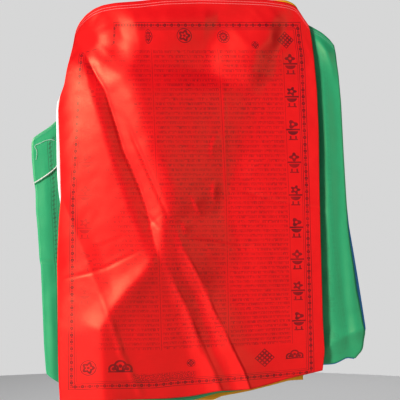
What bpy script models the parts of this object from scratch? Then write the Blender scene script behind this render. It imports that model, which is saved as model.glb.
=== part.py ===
"""Six large prayer flags of one string, folded flag behind flag and hanging by their two top corners.

Metres, +Z up. The origin is the middle of the red flag's top edge, and the red flag faces -Y.
Each flag is one sheet with a doubled heading along its top. Its four edges are smooth curves through
a short table, its inside is blended from them, and its folds are added up from tables of creases
and swells.
"""

from collections import namedtuple

import bpy
import numpy as np

MM = 0.001

# Cloth and heading, and how the flags lie on each other where they are gathered
CLOTH_THICKNESS = 1.2 * MM
HEADING_THICKNESS = 2.4 * MM
HEADING_WIDTH = 18 * MM
HEADING_STEP = 5 * MM
SEAT_GAP = 0.3 * MM
LAYER_PITCH = HEADING_THICKNESS + SEAT_GAP
GATHER_POINTS = ((-278 * MM, -112 * MM), (292 * MM, -88 * MM))
GATHER_FLAT = 24 * MM
STAND_OFF_REACH = 300 * MM

# The tables give each flag as it is seen square on, from this far in front of its middle
READ_FROM = 3.0
READ_MIDDLE = (27 * MM, -548 * MM)

# Edges are eased over this length each way, and are worked out in this many steps
EDGE_EASE = 11 * MM
EDGE_STEPS = 360

# Rows of faces stand closer towards the heading, by this power
ROW_CROWDING = 1.3

# The loose end of the string
CORD_DIAMETER = 3.6 * MM
CORD_POINT_SPACING = 9 * MM
CORD_COLOUR = (0.85, 0.84, 0.80)

# stand_off is how far behind the red flag's plane a flag hangs clear of the gathered corners, and lift
# is how far its whole surface comes forward. Its folds and its lift have their full height at fold_reach
# from a gathered corner. These are in millimetres, and so are the tables below. follow is the flag's
# share of the bundle's large pleat.
Flag = namedtuple(
    "Flag",
    "name colour layer stand_off lift follow fold_reach top right bottom left folds columns rows rails",
)

# An edge is a list of (x, z), the top and bottom from left to right, the sides from top to bottom
RED_EDGES = {
    "top": (
        (-313, -119), (-308, -89), (-297, -67), (-281, -48), (-259, -32), (-235, -22), (-202, -16),
        (-135, -11), (-67, -3), (27, 0), (135, -3), (200, -6), (237, -11), (262, -15), (284, -24),
        (296, -40), (306, -56), (320, -76),
    ),
    "right": (
        (320, -76), (325, -93), (329, -117), (335, -163), (343, -251), (348, -359), (350, -521),
        (353, -648), (356, -760), (359, -871), (364, -957), (361, -983), (358, -1008),
    ),
    "bottom": (
        (-351, -1093), (-243, -1091), (-162, -1087), (-59, -1084), (3, -1078), (30, -1073),
        (78, -1064), (130, -1062), (165, -1059), (216, -1045), (267, -1030), (305, -1021),
        (358, -1008),
    ),
    "left": (
        (-313, -119), (-321, -154), (-332, -192), (-340, -238), (-351, -268), (-356, -305),
        (-352, -413), (-350, -494), (-349, -543), (-354, -602), (-357, -664), (-359, -723),
        (-357, -872), (-356, -980), (-354, -1048), (-351, -1093),
    ),
}
WHITE_EDGES = {
    "top": (
        (-302, -122), (-290, -72), (-262, -46), (-215, -30), (-130, -21), (27, -10), (150, -12),
        (240, -21), (278, -34), (298, -56), (314, -80),
    ),
    "right": ((314, -80), (326, -180), (338, -360), (342, -600), (348, -850), (350, -990)),
    "bottom": (
        (-322, -1062), (-150, -1066), (27, -1056), (150, -1042), (250, -1020), (350, -990),
    ),
    "left": (
        (-302, -122), (-303, -150), (-316, -180), (-331, -211), (-350, -267), (-359, -286),
        (-361, -321), (-360, -440), (-358, -489), (-355, -526), (-350, -559), (-342, -650),
        (-336, -800), (-330, -950), (-322, -1062),
    ),
}
GREEN_LEFT_EDGES = {
    "top": (
        (-423, -381), (-416, -375), (-400, -364), (-381, -352), (-362, -335), (-325, -310),
        (-270, -262), (-190, -185), (-90, -100), (0, -55), (110, -38), (210, -38), (270, -52),
        (312, -76),
    ),
    "right": ((312, -76), (318, -250), (320, -500), (316, -800), (305, -1008)),
    "bottom": (
        (-387, -1018), (-374, -1029), (-354, -1041), (-300, -1062), (-230, -1084), (-162, -1091),
        (-59, -1091), (0, -1089), (20, -1085), (40, -1079), (78, -1068), (130, -1064),
        (165, -1057), (230, -1034), (305, -1008),
    ),
    "left": (
        (-423, -381), (-428, -394), (-427, -437), (-422, -494), (-417, -521), (-416, -575),
        (-411, -632), (-406, -712), (-403, -722), (-399, -818), (-394, -942), (-389, -1007),
        (-387, -1018),
    ),
}
GREEN_RIGHT_EDGES = {
    "top": (
        (-292, -120), (-280, -84), (-250, -54), (-190, -34), (-100, -20), (27, -12), (150, -16),
        (235, -30), (282, -50), (305, -68), (320, -76), (340, -87), (357, -97), (377, -115),
        (389, -131),
    ),
    "right": (
        (389, -131), (394, -155), (396, -175), (401, -210), (408, -286), (415, -424), (421, -526),
        (427, -617), (434, -674), (443, -731), (451, -791), (461, -840), (469, -887), (474, -904),
        (472, -913), (469, -929), (468, -944), (464, -956), (456, -964), (447, -975),
    ),
    "bottom": (
        (-255, -1020), (-120, -1040), (60, -1036), (200, -1015), (300, -994), (350, -989),
        (364, -991), (391, -989), (410, -980), (423, -972), (447, -975),
    ),
    "left": ((-292, -120), (-296, -300), (-290, -600), (-275, -850), (-255, -1020)),
}
BLUE_EDGES = {
    "top": (
        (-290, -118), (-278, -88), (-240, -62), (-150, -38), (27, -26), (170, -34), (250, -52),
        (300, -70), (340, -108), (372, -152),
    ),
    "right": (
        (372, -152), (388, -280), (404, -420), (419, -521), (429, -617), (440, -680), (452, -751),
        (461, -807), (470, -865), (475, -898), (462, -930), (455, -955), (443, -977),
    ),
    "bottom": (
        (-245, -1005), (-100, -1022), (100, -1018), (250, -1003), (345, -993), (364, -993),
        (391, -991), (410, -982), (423, -974), (443, -977),
    ),
    "left": ((-290, -118), (-292, -300), (-282, -600), (-262, -850), (-245, -1005)),
}
YELLOW_EDGES = {
    "top": (
        (-288, -112), (-274, -80), (-235, -52), (-150, -30), (27, -16), (150, -12), (205, -9),
        (256, -8), (275, -15), (286, -23), (300, -50), (312, -80),
    ),
    "right": ((312, -80), (318, -200), (322, -500), (316, -800), (306, -960), (305, -1033)),
    "bottom": (
        (-260, -1062), (-120, -1070), (0, -1088), (62, -1088), (86, -1077), (131, -1069),
        (165, -1062), (216, -1049), (268, -1035), (305, -1033),
    ),
    "left": ((-288, -112), (-290, -400), (-280, -800), (-260, -1062)),
}

# The whole bundle's one large pleat, level by level: its left foot, its crest, its right foot, and how
# far the crest comes forward. Its lines are eased over PLEAT_EASE each way. It is straight between a
# crest rounded by PLEAT_ROUND and feet eased over the share PLEAT_FOOT, and has its full height at
# PLEAT_REACH from a gathered corner. Each flag follows it by its own share.
PLEAT_COLUMNS = ("z", "left", "crest", "right", "height")
PLEAT = (
    (10, -262, -205, 75, 0), (-30, -270, -200, 75, 8), (-89, -290, -194, 75, 24),
    (-143, -302, -180, 32, 32), (-197, -318, -172, 34, 40), (-251, -328, -138, 195, 46),
    (-305, -336, -124, 188, 48),
    (-359, -342, -108, 162, 48), (-413, -346, -98, 135, 48), (-467, -350, -72, 105, 48),
    (-521, -352, -52, 96, 48), (-575, -352, -62, 90, 46), (-629, -352, -72, 108, 46),
    (-683, -352, -84, 130, 46), (-737, -352, -116, 120, 46), (-791, -353, -165, 75, 45),
    (-845, -354, -208, 60, 44), (-899, -355, -238, 50, 44), (-1000, -355, -236, 20, 43),
    (-1110, -355, -228, 10, 42),
)
PLEAT_EASE = 50 * MM
PLEAT_ROUND = 22 * MM
PLEAT_FOOT = 0.25
PLEAT_REACH = 150 * MM

# A fold is its kind and its sections, from the top down: a crease has a sharp crest and eased feet, by
# this power, and a swell is rounded all over. Left and right are the reaches to its feet on either side
# of its line, and height is how far it comes forward, or back where it is negative.
SECTION_COLUMNS = ("x", "z", "left", "right", "height")
CREASE_POWER = 1.5

# The whole bundle's right panel comes forward to its line, and the flags lie closer together at their
# right sides: from this x, over this width, they lose this share of their stand-off and lift.
RIGHT_PANEL = ("crease", (
    (480, -60, 180, 60, 0), (480, -150, 200, 60, 20), (482, -251, 260, 60, 30), (484, -359, 320, 60, 36),
    (486, -467, 375, 60, 38), (486, -600, 385, 60, 38), (488, -750, 340, 60, 32), (490, -900, 300, 60, 24),
    (490, -1060, 280, 60, 18),
))
CLOSER_FROM = 180 * MM
CLOSER_OVER = 150 * MM
CLOSER_BY = 0.72

RED_FOLDS = {
    "left_crown": ("swell", (
        (-292, -150, 20, 10, 0), (-281, -197, 70, 20, 4), (-273, -251, 80, 42, 6), (-254, -305, 95, 42, 8),
        (-235, -359, 115, 42, 9), (-221, -413, 125, 44, 9), (-205, -467, 140, 50, 9),
        (-186, -521, 150, 52, 9), (-170, -575, 160, 54, 8), (-140, -629, 170, 40, 4), (-130, -680, 150, 30, 0),
    )),
    "tuck": ("crease", (
        (-290, -140, 12, 10, 0), (-262, -197, 22, 40, -6), (-230, -251, 44, 60, -9),
        (-213, -305, 44, 66, -11), (-196, -359, 44, 70, -12), (-180, -413, 45, 70, -12),
        (-154, -467, 52, 60, -12), (-134, -521, 54, 55, -12), (-116, -575, 54, 45, -11),
        (-104, -629, 40, 34, -9), (-90, -690, 30, 24, -5), (-70, -740, 20, 15, 0),
    )),
    "lower_tuck": ("crease", (
        (-62, -725, 15, 20, 0), (-34, -791, 28, 40, 6), (-4, -845, 32, 45, 10), (13, -899, 34, 48, 12),
        (27, -953, 36, 50, 12), (61, -1007, 40, 48, 12), (77, -1048, 42, 45, 12), (100, -1105, 45, 45, 12),
    )),
    "second_tuck": ("crease", (
        (-40, -615, 12, 20, 0), (-18, -680, 25, 45, 6), (13, -737, 35, 60, 10), (46, -791, 38, 65, 13),
        (62, -845, 40, 70, 15), (95, -899, 45, 75, 16), (111, -953, 48, 75, 16), (143, -1007, 50, 78, 16),
        (159, -1048, 50, 80, 16), (178, -1110, 45, 80, 16),
    )),
    "lower_panel": ("crease", (
        (-85, -680, 12, 20, 0), (-116, -737, 30, 40, 4), (-165, -791, 50, 70, 6), (-208, -845, 55, 80, 7),
        (-238, -899, 60, 80, 7), (-236, -1000, 60, 90, 7), (-230, -1110, 60, 90, 7),
    )),
    "long_diagonal": ("crease", (
        (-350, -530, 12, 20, 0), (-318, -610, 45, 40, 4), (-275, -720, 60, 45, 6),
        (-240, -810, 50, 40, 5), (-222, -873, 30, 20, 0),
    )),
    "right_swag": ("swell", (
        (276, -50, 30, 12, 0), (245, -75, 70, 30, 8), (221, -95, 100, 42, 12), (175, -143, 120, 70, 17),
        (160, -197, 130, 75, 18), (150, -230, 120, 60, 9), (140, -260, 100, 60, 0),
    )),
    "top_roll": ("swell", (
        (-190, -78, 60, 40, 0), (-150, -68, 90, 40, 8), (-60, -60, 110, 38, 10), (40, -58, 90, 36, 9),
        (75, -60, 60, 36, 0),
    )),
}
WHITE_FOLDS = {
    "side_swell": ("swell", ((-340, -300, 60, 60, 0), (-330, -600, 60, 70, 3), (-325, -1100, 60, 80, 3))),
    "middle_swell": ("swell", ((-60, -300, 80, 90, 0), (20, -700, 90, 90, 4), (60, -1100, 90, 90, 4))),
}
GREEN_LEFT_FOLDS = {
    "corner_swell": ("swell", ((-395, -390, 18, 22, 0), (-392, -560, 22, 26, 3), (-385, -760, 22, 28, 1))),
    "lower_swell": ("swell", ((-378, -760, 18, 22, 0), (-372, -900, 20, 24, 4), (-368, -1060, 20, 24, 4))),
    "middle_swell": ("swell", ((-120, -300, 90, 90, 0), (-90, -700, 90, 90, 3), (-60, -1110, 90, 90, 3))),
}
GREEN_RIGHT_FOLDS = {
    "shoulder": ("crease", (
        (325, -84, 12, 18, 0), (338, -101, 26, 26, 7), (354, -126, 34, 34, 11),
        (370, -150, 34, 34, 10), (384, -190, 34, 26, 4), (390, -240, 30, 20, 0),
    )),
    "outer_swell": ("swell", ((352, -150, 20, 24, 0), (366, -330, 26, 34, 5), (378, -600, 28, 40, 6),
                              (392, -900, 30, 40, 4), (398, -1000, 30, 40, 2))),
    "edge_swell": ("swell", ((412, -480, 20, 24, 0), (424, -650, 24, 26, 4), (440, -820, 26, 28, 5),
                             (452, -930, 26, 28, 3))),
    "turned_corner": ("crease", ((478, -894, 55, 30, 9), (419, -915, 55, 34, 8), (367, -948, 45, 34, 4),
                                 (330, -975, 30, 30, 0))),
}
BLUE_FOLDS = {
    "outer_swell": ("swell", ((360, -200, 40, 40, 0), (400, -600, 50, 45, 3), (420, -1000, 50, 45, 3))),
}
YELLOW_FOLDS = {
    "left_hollow": ("swell", ((-262, -130, 20, 20, 0), (-215, -300, 60, 70, -12), (-190, -600, 80, 90, -18),
                              (-170, -1100, 90, 100, -18))),
    "left_pleat": ("crease", ((-245, -120, 15, 30, 0), (-150, -260, 45, 60, -8), (-60, -480, 50, 80, -14),
                              (0, -760, 50, 90, -14), (40, -1110, 50, 90, -10))),
    "right_hollow": ("swell", ((285, -110, 20, 20, 0), (240, -280, 60, 60, -12), (205, -600, 80, 80, -18),
                               (190, -1100, 90, 80, -16))),
    "right_pleat": ("crease", ((270, -105, 15, 15, 0), (175, -230, 60, 45, -7), (110, -420, 70, 50, -10),
                               (90, -700, 60, 50, 0))),
}

# Where the red flag's columns of faces follow its tucks: share of the way down, then the shares of the
# way across of the first tuck with the lower one, and of the second tuck
RED_RAILS = (
    (0.00, 0.087, 0.190), (0.06, 0.107, 0.235), (0.12, 0.144, 0.278), (0.18, 0.189, 0.300),
    (0.24, 0.225, 0.342), (0.30, 0.245, 0.357), (0.36, 0.267, 0.374), (0.42, 0.299, 0.402),
    (0.48, 0.331, 0.438), (0.54, 0.357, 0.457), (0.60, 0.376, 0.474), (0.66, 0.404, 0.504),
    (0.72, 0.447, 0.548), (0.78, 0.491, 0.580), (0.84, 0.516, 0.623), (0.92, 0.556, 0.664),
    (1.00, 0.608, 0.718),
)
RED_RAIL_COLUMNS = (9, 5, 17)

# The string's loose end, (x, y, z): out of the white flag's heading, down behind that flag, and out
# to the left over the green flag
CORD_ROUTE = (
    (-304.2, 3.3, -136), (-308.2, 3.4, -136.2), (-312, 4.6, -142), (-314, 6.2, -153),
    (-315, 8, -168), (-317, 9.8, -192), (-320, 11.6, -222), (-324, 12.6, -256), (-329, 12.3, -292),
    (-334, 12.7, -330), (-339, 14.5, -368), (-345, 17.2, -404), (-352, 18.6, -434),
    (-361, 18.9, -456), (-373, 18.8, -468), (-386, 17.8, -478), (-399, 17.2, -487),
    (-412, 17.6, -495), (-426, 18.6, -503),
)

FLAGS = (
    Flag("flag_red", (0.80, 0.03, 0.02), 0, 0, 6, 1.0, 80, **RED_EDGES, folds=RED_FOLDS,
         columns=31, rows=42, rails=RED_RAILS),
    Flag("flag_white", (0.86, 0.86, 0.84), 1, 7, 0, 0.55, 190, **WHITE_EDGES, folds=WHITE_FOLDS,
         columns=14, rows=18, rails=None),
    Flag("flag_green_left", (0.07, 0.42, 0.19), 2, 17, 0, 0.5, 190, **GREEN_LEFT_EDGES,
         folds=GREEN_LEFT_FOLDS, columns=16, rows=20, rails=None),
    Flag("flag_green_right", (0.05, 0.38, 0.17), 3, 27, 0, 0.45, 110, **GREEN_RIGHT_EDGES,
         folds=GREEN_RIGHT_FOLDS, columns=20, rows=24, rails=None),
    Flag("flag_blue", (0.02, 0.22, 0.60), 4, 35, 0, 0.4, 190, **BLUE_EDGES, folds=BLUE_FOLDS,
         columns=16, rows=20, rails=None),
    Flag("flag_yellow", (0.85, 0.52, 0.04), 5, 43, 0, 0.3, 190, **YELLOW_EDGES, folds=YELLOW_FOLDS,
         columns=16, rows=22, rails=None),
)
CLOTH_ROUGHNESS = 0.85


def clear_scene():
    """Removes every object."""
    for thing in list(bpy.data.objects):
        bpy.data.objects.remove(thing, do_unlink=True)


def eased(share):
    """0 to 1 with a level start and end: 3 s^2 - 2 s^3."""
    share = np.clip(share, 0.0, 1.0)
    return share * share * (3.0 - 2.0 * share)


def along(points, shares, ease=EDGE_EASE):
    """Points at the given shares of the length of a line through the points, its corners eased by
    a moving average and its ends kept."""
    knots = np.array(points, float) * MM
    steps = np.linalg.norm(np.diff(knots, axis=0), axis=1)
    run = np.concatenate(([0.0], np.cumsum(steps)))
    at = np.linspace(0.0, run[-1], EDGE_STEPS)
    line = np.stack([np.interp(at, run, column) for column in knots.T], axis=-1)
    half = max(1, round(ease / (run[-1] / EDGE_STEPS)))
    weights = np.concatenate((np.arange(1, half + 2), np.arange(half, 0, -1))).astype(float)
    weights /= weights.sum()
    longer = np.pad(line, ((half, half), (0, 0)), mode="reflect", reflect_type="odd")
    smooth = [np.convolve(column, weights, "valid") for column in longer.T]
    return np.stack([np.interp(shares * run[-1], at, column) for column in smooth], axis=-1)


def freedom(x, z, reach):
    """0 where the flags are gathered and flat on each other, rising to 1 at the reach."""
    share = np.ones_like(x)
    for gather_x, gather_z in GATHER_POINTS:
        away = np.hypot(x - gather_x, z - gather_z) - GATHER_FLAT
        share = share * eased(away / (reach - GATHER_FLAT))
    return share


def fold_height(x, z, kind, sections):
    """Height of one fold: its sections' height on its line, falling to 0 at its left and right feet."""
    rows = [dict(zip(SECTION_COLUMNS, np.array(section) * MM)) for section in sections]
    nearest = np.full(x.shape, np.inf)
    height = np.zeros_like(x)
    for upper, lower in zip(rows, rows[1:]):
        run_x = lower["x"] - upper["x"]
        run_z = lower["z"] - upper["z"]
        from_x = x - upper["x"]
        from_z = z - upper["z"]
        down = np.clip((from_x * run_x + from_z * run_z) / (run_x**2 + run_z**2), 0.0, 1.0)
        away = np.hypot(from_x - down * run_x, from_z - down * run_z)
        blend = {name: upper[name] + down * (lower[name] - upper[name]) for name in SECTION_COLUMNS}
        on_right = run_x * from_z - run_z * from_x > 0.0
        reach = np.where(on_right, blend["right"], blend["left"])
        share = np.clip(1.0 - away / np.maximum(reach, MM), 0.0, 1.0)
        profile = share**CREASE_POWER if kind == "crease" else eased(share)
        height = np.where(away < nearest, blend["height"] * profile, height)
        nearest = np.minimum(nearest, away)
    return height


def pleat_height(x, z):
    """Height of the large pleat: its level's crest height, falling straight to 0 at both feet."""
    levels = along(PLEAT, np.linspace(0.0, 1.0, EDGE_STEPS), PLEAT_EASE)[::-1]
    rows = dict(zip(PLEAT_COLUMNS, levels.T))
    left, crest, right, height = (np.interp(z, rows["z"], rows[name]) for name in PLEAT_COLUMNS[1:])
    reach = np.where(x > crest, right - crest, crest - left)
    away = np.hypot(x - crest, PLEAT_ROUND) - PLEAT_ROUND
    share = np.clip(1.0 - away / reach, 0.0, 1.0)
    eased_foot = np.where(share < PLEAT_FOOT, share**2 / (2 * PLEAT_FOOT), share - PLEAT_FOOT / 2)
    return height * eased_foot / (1 - PLEAT_FOOT / 2)


def flag_depth(flag, x, z):
    """How far behind the red flag's plane a flag lies at each place."""
    forward = np.zeros_like(x)
    for kind, sections in flag.folds.values():
        forward += fold_height(x, z, kind, sections)
    bundle = flag.follow * pleat_height(x, z) + fold_height(x, z, *RIGHT_PANEL)
    gathered = flag.layer * LAYER_PITCH - bundle * freedom(x, z, PLEAT_REACH)
    closer = 1.0 - CLOSER_BY * eased((x - CLOSER_FROM) / CLOSER_OVER)
    stand_off = flag.stand_off * MM * freedom(x, z, STAND_OFF_REACH)
    stand_off -= flag.lift * MM * freedom(x, z, flag.fold_reach * MM)
    return gathered + stand_off * closer - forward * freedom(x, z, flag.fold_reach * MM)


def shares_down(flag):
    """Shares of the way down of a flag's rows: the heading, its step, and the rows below."""
    height = abs(flag.left[-1][1] - flag.left[0][1]) * MM
    heading = HEADING_WIDTH / height
    step = (HEADING_WIDTH + HEADING_STEP) / height
    even = np.linspace(step ** (1 / ROW_CROWDING), 1.0, flag.rows)
    return np.concatenate(([0.0, heading], even**ROW_CROWDING))


def shares_across(flag, down):
    """Shares of the way across of a flag's columns at each row: along its rails if it has them,
    and otherwise closer together towards both sides."""
    if flag.rails is None:
        even = np.linspace(0.0, 1.0, flag.columns + 1)
        crowded = (even + 0.5 - 0.5 * np.cos(np.pi * even)) / 2
        return np.broadcast_to(crowded, (len(down), flag.columns + 1))
    rails = np.array(flag.rails)
    marks = [np.zeros_like(down)]
    marks += [np.interp(down, rails[:, 0], rail) for rail in rails.T[1:]]
    marks += [np.ones_like(down)]
    strips = [marks[0][:, None]]
    for start, end, count in zip(marks, marks[1:], RED_RAIL_COLUMNS):
        part = np.arange(1, count + 1) / count
        strips.append(start[:, None] + (end - start)[:, None] * part)
    return np.hstack(strips)


def flag_grid(flag):
    """A flag's points, row by row: a patch blended from its four edges, then set at its depth."""
    down = shares_down(flag)
    across = shares_across(flag, down)
    down = np.broadcast_to(down[:, None], across.shape)
    u = across[..., None]
    v = down[..., None]
    top = along(flag.top, across)
    bottom = along(flag.bottom, across)
    left = along(flag.left, down)
    right = along(flag.right, down)
    ends = (flag.top[0], flag.top[-1], flag.bottom[0], flag.bottom[-1])
    corners = np.array(ends, float) * MM
    plane = (1 - v) * top + v * bottom + (1 - u) * left + u * right
    plane = plane - (1 - u) * (1 - v) * corners[0] - u * (1 - v) * corners[1]
    plane = plane - (1 - u) * v * corners[2] - u * v * corners[3]
    x = plane[..., 0]
    z = plane[..., 1]
    y = flag_depth(flag, x, z)
    growth = 1.0 + y / READ_FROM
    x = READ_MIDDLE[0] + (x - READ_MIDDLE[0]) * growth
    z = READ_MIDDLE[1] + (z - READ_MIDDLE[1]) * growth
    return np.stack((x, y, z), axis=-1)


def material(name, colour):
    """Plain cloth of one colour."""
    made = bpy.data.materials.new(name)
    made.use_nodes = True
    shader = made.node_tree.nodes["Principled BSDF"]
    shader.inputs["Base Color"].default_value = (*colour, 1.0)
    shader.inputs["Roughness"].default_value = CLOTH_ROUGHNESS
    shader.inputs["Metallic"].default_value = 0.0
    made.diffuse_color = (*colour, 1.0)
    return made


def make_flag(flag):
    """One flag: its grid of faces, thickened evenly about the middle, and double at the heading."""
    grid = flag_grid(flag)
    rows, columns = grid.shape[:2]
    index = np.arange(rows * columns).reshape(rows, columns)
    faces = np.stack((index[:-1, :-1], index[1:, :-1], index[1:, 1:], index[:-1, 1:]), axis=-1)
    mesh = bpy.data.meshes.new(flag.name)
    mesh.from_pydata(grid.reshape(-1, 3).tolist(), [], faces.reshape(-1, 4).tolist())
    mesh.shade_smooth()
    made = bpy.data.objects.new(flag.name, mesh)
    bpy.context.collection.objects.link(made)
    mesh.materials.append(material(flag.name + "_cloth", flag.colour))
    thickness = made.vertex_groups.new(name="thickness")
    thickness.add(index[:2].ravel().tolist(), 1.0, "REPLACE")
    thickness.add(index[2:].ravel().tolist(), CLOTH_THICKNESS / HEADING_THICKNESS, "REPLACE")
    solid = made.modifiers.new("Thickness", "SOLIDIFY")
    solid.thickness = HEADING_THICKNESS
    solid.offset = 0.0
    solid.vertex_group = thickness.name
    return made


def make_cord():
    """The loose end of the string, a round cord along its route."""
    knots = np.array(CORD_ROUTE, float) * MM
    length = np.linalg.norm(np.diff(knots, axis=0), axis=1).sum()
    count = round(length / CORD_POINT_SPACING)
    line = along(CORD_ROUTE, np.linspace(0.0, 1.0, count + 1))
    curve = bpy.data.curves.new("string_end", "CURVE")
    curve.dimensions = "3D"
    curve.bevel_depth = CORD_DIAMETER / 2
    curve.bevel_resolution = 2
    curve.use_fill_caps = True
    spline = curve.splines.new("POLY")
    spline.points.add(len(line) - 1)
    for point, place in zip(spline.points, line):
        point.co = (*place, 1.0)
    curve.materials.append(material("string_cotton", CORD_COLOUR))
    made = bpy.data.objects.new("string_end", curve)
    bpy.context.collection.objects.link(made)
    return made


def main():
    clear_scene()
    for flag in FLAGS:
        make_flag(flag)
    make_cord()


main()
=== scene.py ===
"""Dresses six large prayer flags of one string: their printed cloth with its folds and stitched
headings, the string's loose end, a loose thread, and the stage that they hang over.
"""

from collections import namedtuple

import bpy
import numpy as np
from bpy.props import EnumProperty, FloatProperty, FloatVectorProperty, PointerProperty
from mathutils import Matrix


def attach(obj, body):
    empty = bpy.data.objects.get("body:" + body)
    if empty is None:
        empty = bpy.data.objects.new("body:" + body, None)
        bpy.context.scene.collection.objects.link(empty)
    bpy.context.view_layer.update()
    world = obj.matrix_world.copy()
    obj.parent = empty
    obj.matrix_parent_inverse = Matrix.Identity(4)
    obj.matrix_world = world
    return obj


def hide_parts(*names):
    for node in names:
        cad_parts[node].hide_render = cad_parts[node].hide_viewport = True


bl_info = {
    "name": "Prayer Flag String",
    "version": (1, 0, 0),
    "blender": (4, 5, 0),
    "location": "3D View > Sidebar > Prayer Flags",
    "description": "Printed cloth, string and stage for a bundle of large prayer flags",
    "category": "Object",
}

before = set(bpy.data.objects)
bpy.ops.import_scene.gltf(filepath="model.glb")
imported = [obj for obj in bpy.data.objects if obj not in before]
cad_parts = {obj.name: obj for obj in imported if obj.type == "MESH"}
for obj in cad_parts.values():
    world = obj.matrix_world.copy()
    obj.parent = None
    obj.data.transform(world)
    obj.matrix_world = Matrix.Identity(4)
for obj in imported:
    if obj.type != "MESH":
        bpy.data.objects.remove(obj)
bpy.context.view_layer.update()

MM = 0.001

# The cut of every flag, across and down
CUT = (0.73, 1.08)

# How the flags lie on each other where they are gathered
HEADING_WIDTH = 18 * MM
HEADING_STEP = 3 * MM
LAYER_PITCH = 2.7 * MM
GATHER_POINTS = ((-278 * MM, -112 * MM), (292 * MM, -88 * MM))
GATHER_FLAT = 24 * MM
STAND_OFF_REACH = 300 * MM

# The tables give each flag as it is seen square on, from this far in front of its middle
READ_FROM = 3.0
READ_MIDDLE = (27 * MM, -548 * MM)

# Edges are eased over this length each way, and are worked out in this many steps
EDGE_EASE = 11 * MM
EDGE_STEPS = 720

# ink is how dark a flag's print is, as a share of the red flag's. stand_off is how far behind the
# red flag's plane it hangs clear of the gathered corners, and lift is how far its whole surface
# comes forward. Its folds and its lift have their full height at fold_reach from a gathered corner.
# These three are in millimetres, and so are the tables below. follow is its share of the bundle's
# large pleat. columns counts its columns of faces, strip by strip where it has rails, and rows its
# rows of points below the heading.
Flag = namedtuple(
    "Flag",
    "name node slot ink layer stand_off lift follow fold_reach"
    " top right bottom left folds columns rows rails",
)

# An edge is a list of (x, z), the top and bottom from left to right, the sides from top to bottom
RED_EDGES = {
    "top": (
        (-313, -119), (-308, -89), (-297, -67), (-281, -48), (-259, -32), (-235, -22), (-202, -16),
        (-135, -11), (-67, -3), (27, 0), (135, -3), (200, -6), (237, -11), (262, -15), (284, -24),
        (296, -40), (306, -56), (320, -76),
    ),
    "right": (
        (320, -76), (325, -93), (329, -117), (335, -163), (343, -251), (348, -359), (350, -521),
        (353, -648), (356, -760), (359, -871), (364, -957), (361, -983), (358, -1008),
    ),
    "bottom": (
        (-351, -1093), (-243, -1091), (-162, -1087), (-59, -1084), (3, -1078), (30, -1073),
        (78, -1064), (130, -1062), (165, -1059), (216, -1045), (267, -1030), (305, -1021),
        (358, -1008),
    ),
    "left": (
        (-313, -119), (-321, -154), (-332, -192), (-340, -238), (-351, -268), (-356, -305),
        (-352, -413), (-350, -494), (-349, -543), (-354, -602), (-357, -664), (-359, -723),
        (-357, -872), (-356, -980), (-354, -1048), (-351, -1093),
    ),
}
WHITE_EDGES = {
    "top": (
        (-302, -122), (-290, -72), (-262, -46), (-215, -30), (-130, -21), (27, -10), (150, -12),
        (240, -21), (278, -34), (298, -56), (314, -80),
    ),
    "right": ((314, -80), (326, -180), (338, -360), (342, -600), (348, -850), (350, -990)),
    "bottom": (
        (-322, -1062), (-150, -1066), (27, -1056), (150, -1042), (250, -1020), (350, -990),
    ),
    "left": (
        (-302, -122), (-303, -150), (-316, -180), (-331, -211), (-350, -267), (-359, -286),
        (-361, -321), (-360, -440), (-358, -489), (-355, -526), (-350, -559), (-342, -650),
        (-336, -800), (-330, -950), (-322, -1062),
    ),
}
GREEN_LEFT_EDGES = {
    "top": (
        (-423, -381), (-416, -375), (-400, -364), (-381, -352), (-362, -335), (-325, -310),
        (-270, -262), (-190, -185), (-90, -100), (0, -55), (110, -38), (210, -38), (270, -52),
        (312, -76),
    ),
    "right": ((312, -76), (318, -250), (320, -500), (316, -800), (305, -1008)),
    "bottom": (
        (-387, -1018), (-374, -1029), (-354, -1041), (-300, -1062), (-230, -1084), (-162, -1091),
        (-59, -1091), (0, -1089), (20, -1085), (40, -1079), (78, -1068), (130, -1064), (165, -1057),
        (230, -1034), (305, -1008),
    ),
    "left": (
        (-423, -381), (-428, -394), (-427, -437), (-422, -494), (-417, -521), (-416, -575),
        (-411, -632), (-406, -712), (-403, -722), (-399, -818), (-394, -942), (-389, -1007),
        (-387, -1018),
    ),
}
GREEN_RIGHT_EDGES = {
    "top": (
        (-292, -120), (-280, -84), (-250, -54), (-190, -34), (-100, -20), (27, -12), (150, -16),
        (235, -30), (282, -50), (305, -68), (320, -76), (340, -87), (357, -97), (377, -115),
        (389, -131),
    ),
    "right": (
        (389, -131), (394, -155), (396, -175), (401, -210), (408, -286), (415, -424), (421, -526),
        (427, -617), (434, -674), (443, -731), (451, -791), (461, -840), (469, -887), (474, -904),
        (472, -913), (469, -929), (468, -944), (464, -956), (456, -964), (447, -975),
    ),
    "bottom": (
        (-255, -1020), (-120, -1040), (60, -1036), (200, -1015), (300, -994), (350, -989),
        (364, -991), (391, -989), (410, -980), (423, -972), (447, -975),
    ),
    "left": ((-292, -120), (-296, -300), (-290, -600), (-275, -850), (-255, -1020)),
}
BLUE_EDGES = {
    "top": (
        (-290, -118), (-278, -88), (-240, -62), (-150, -38), (27, -26), (170, -34), (250, -52),
        (300, -70), (340, -108), (372, -152),
    ),
    "right": (
        (372, -152), (388, -280), (404, -420), (419, -521), (429, -617), (440, -680), (452, -751),
        (461, -807), (470, -865), (475, -898), (462, -930), (455, -955), (443, -977),
    ),
    "bottom": (
        (-245, -1005), (-100, -1022), (100, -1018), (250, -1003), (345, -993), (364, -993),
        (391, -991), (410, -982), (423, -974), (443, -977),
    ),
    "left": ((-290, -118), (-292, -300), (-282, -600), (-262, -850), (-245, -1005)),
}
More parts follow.
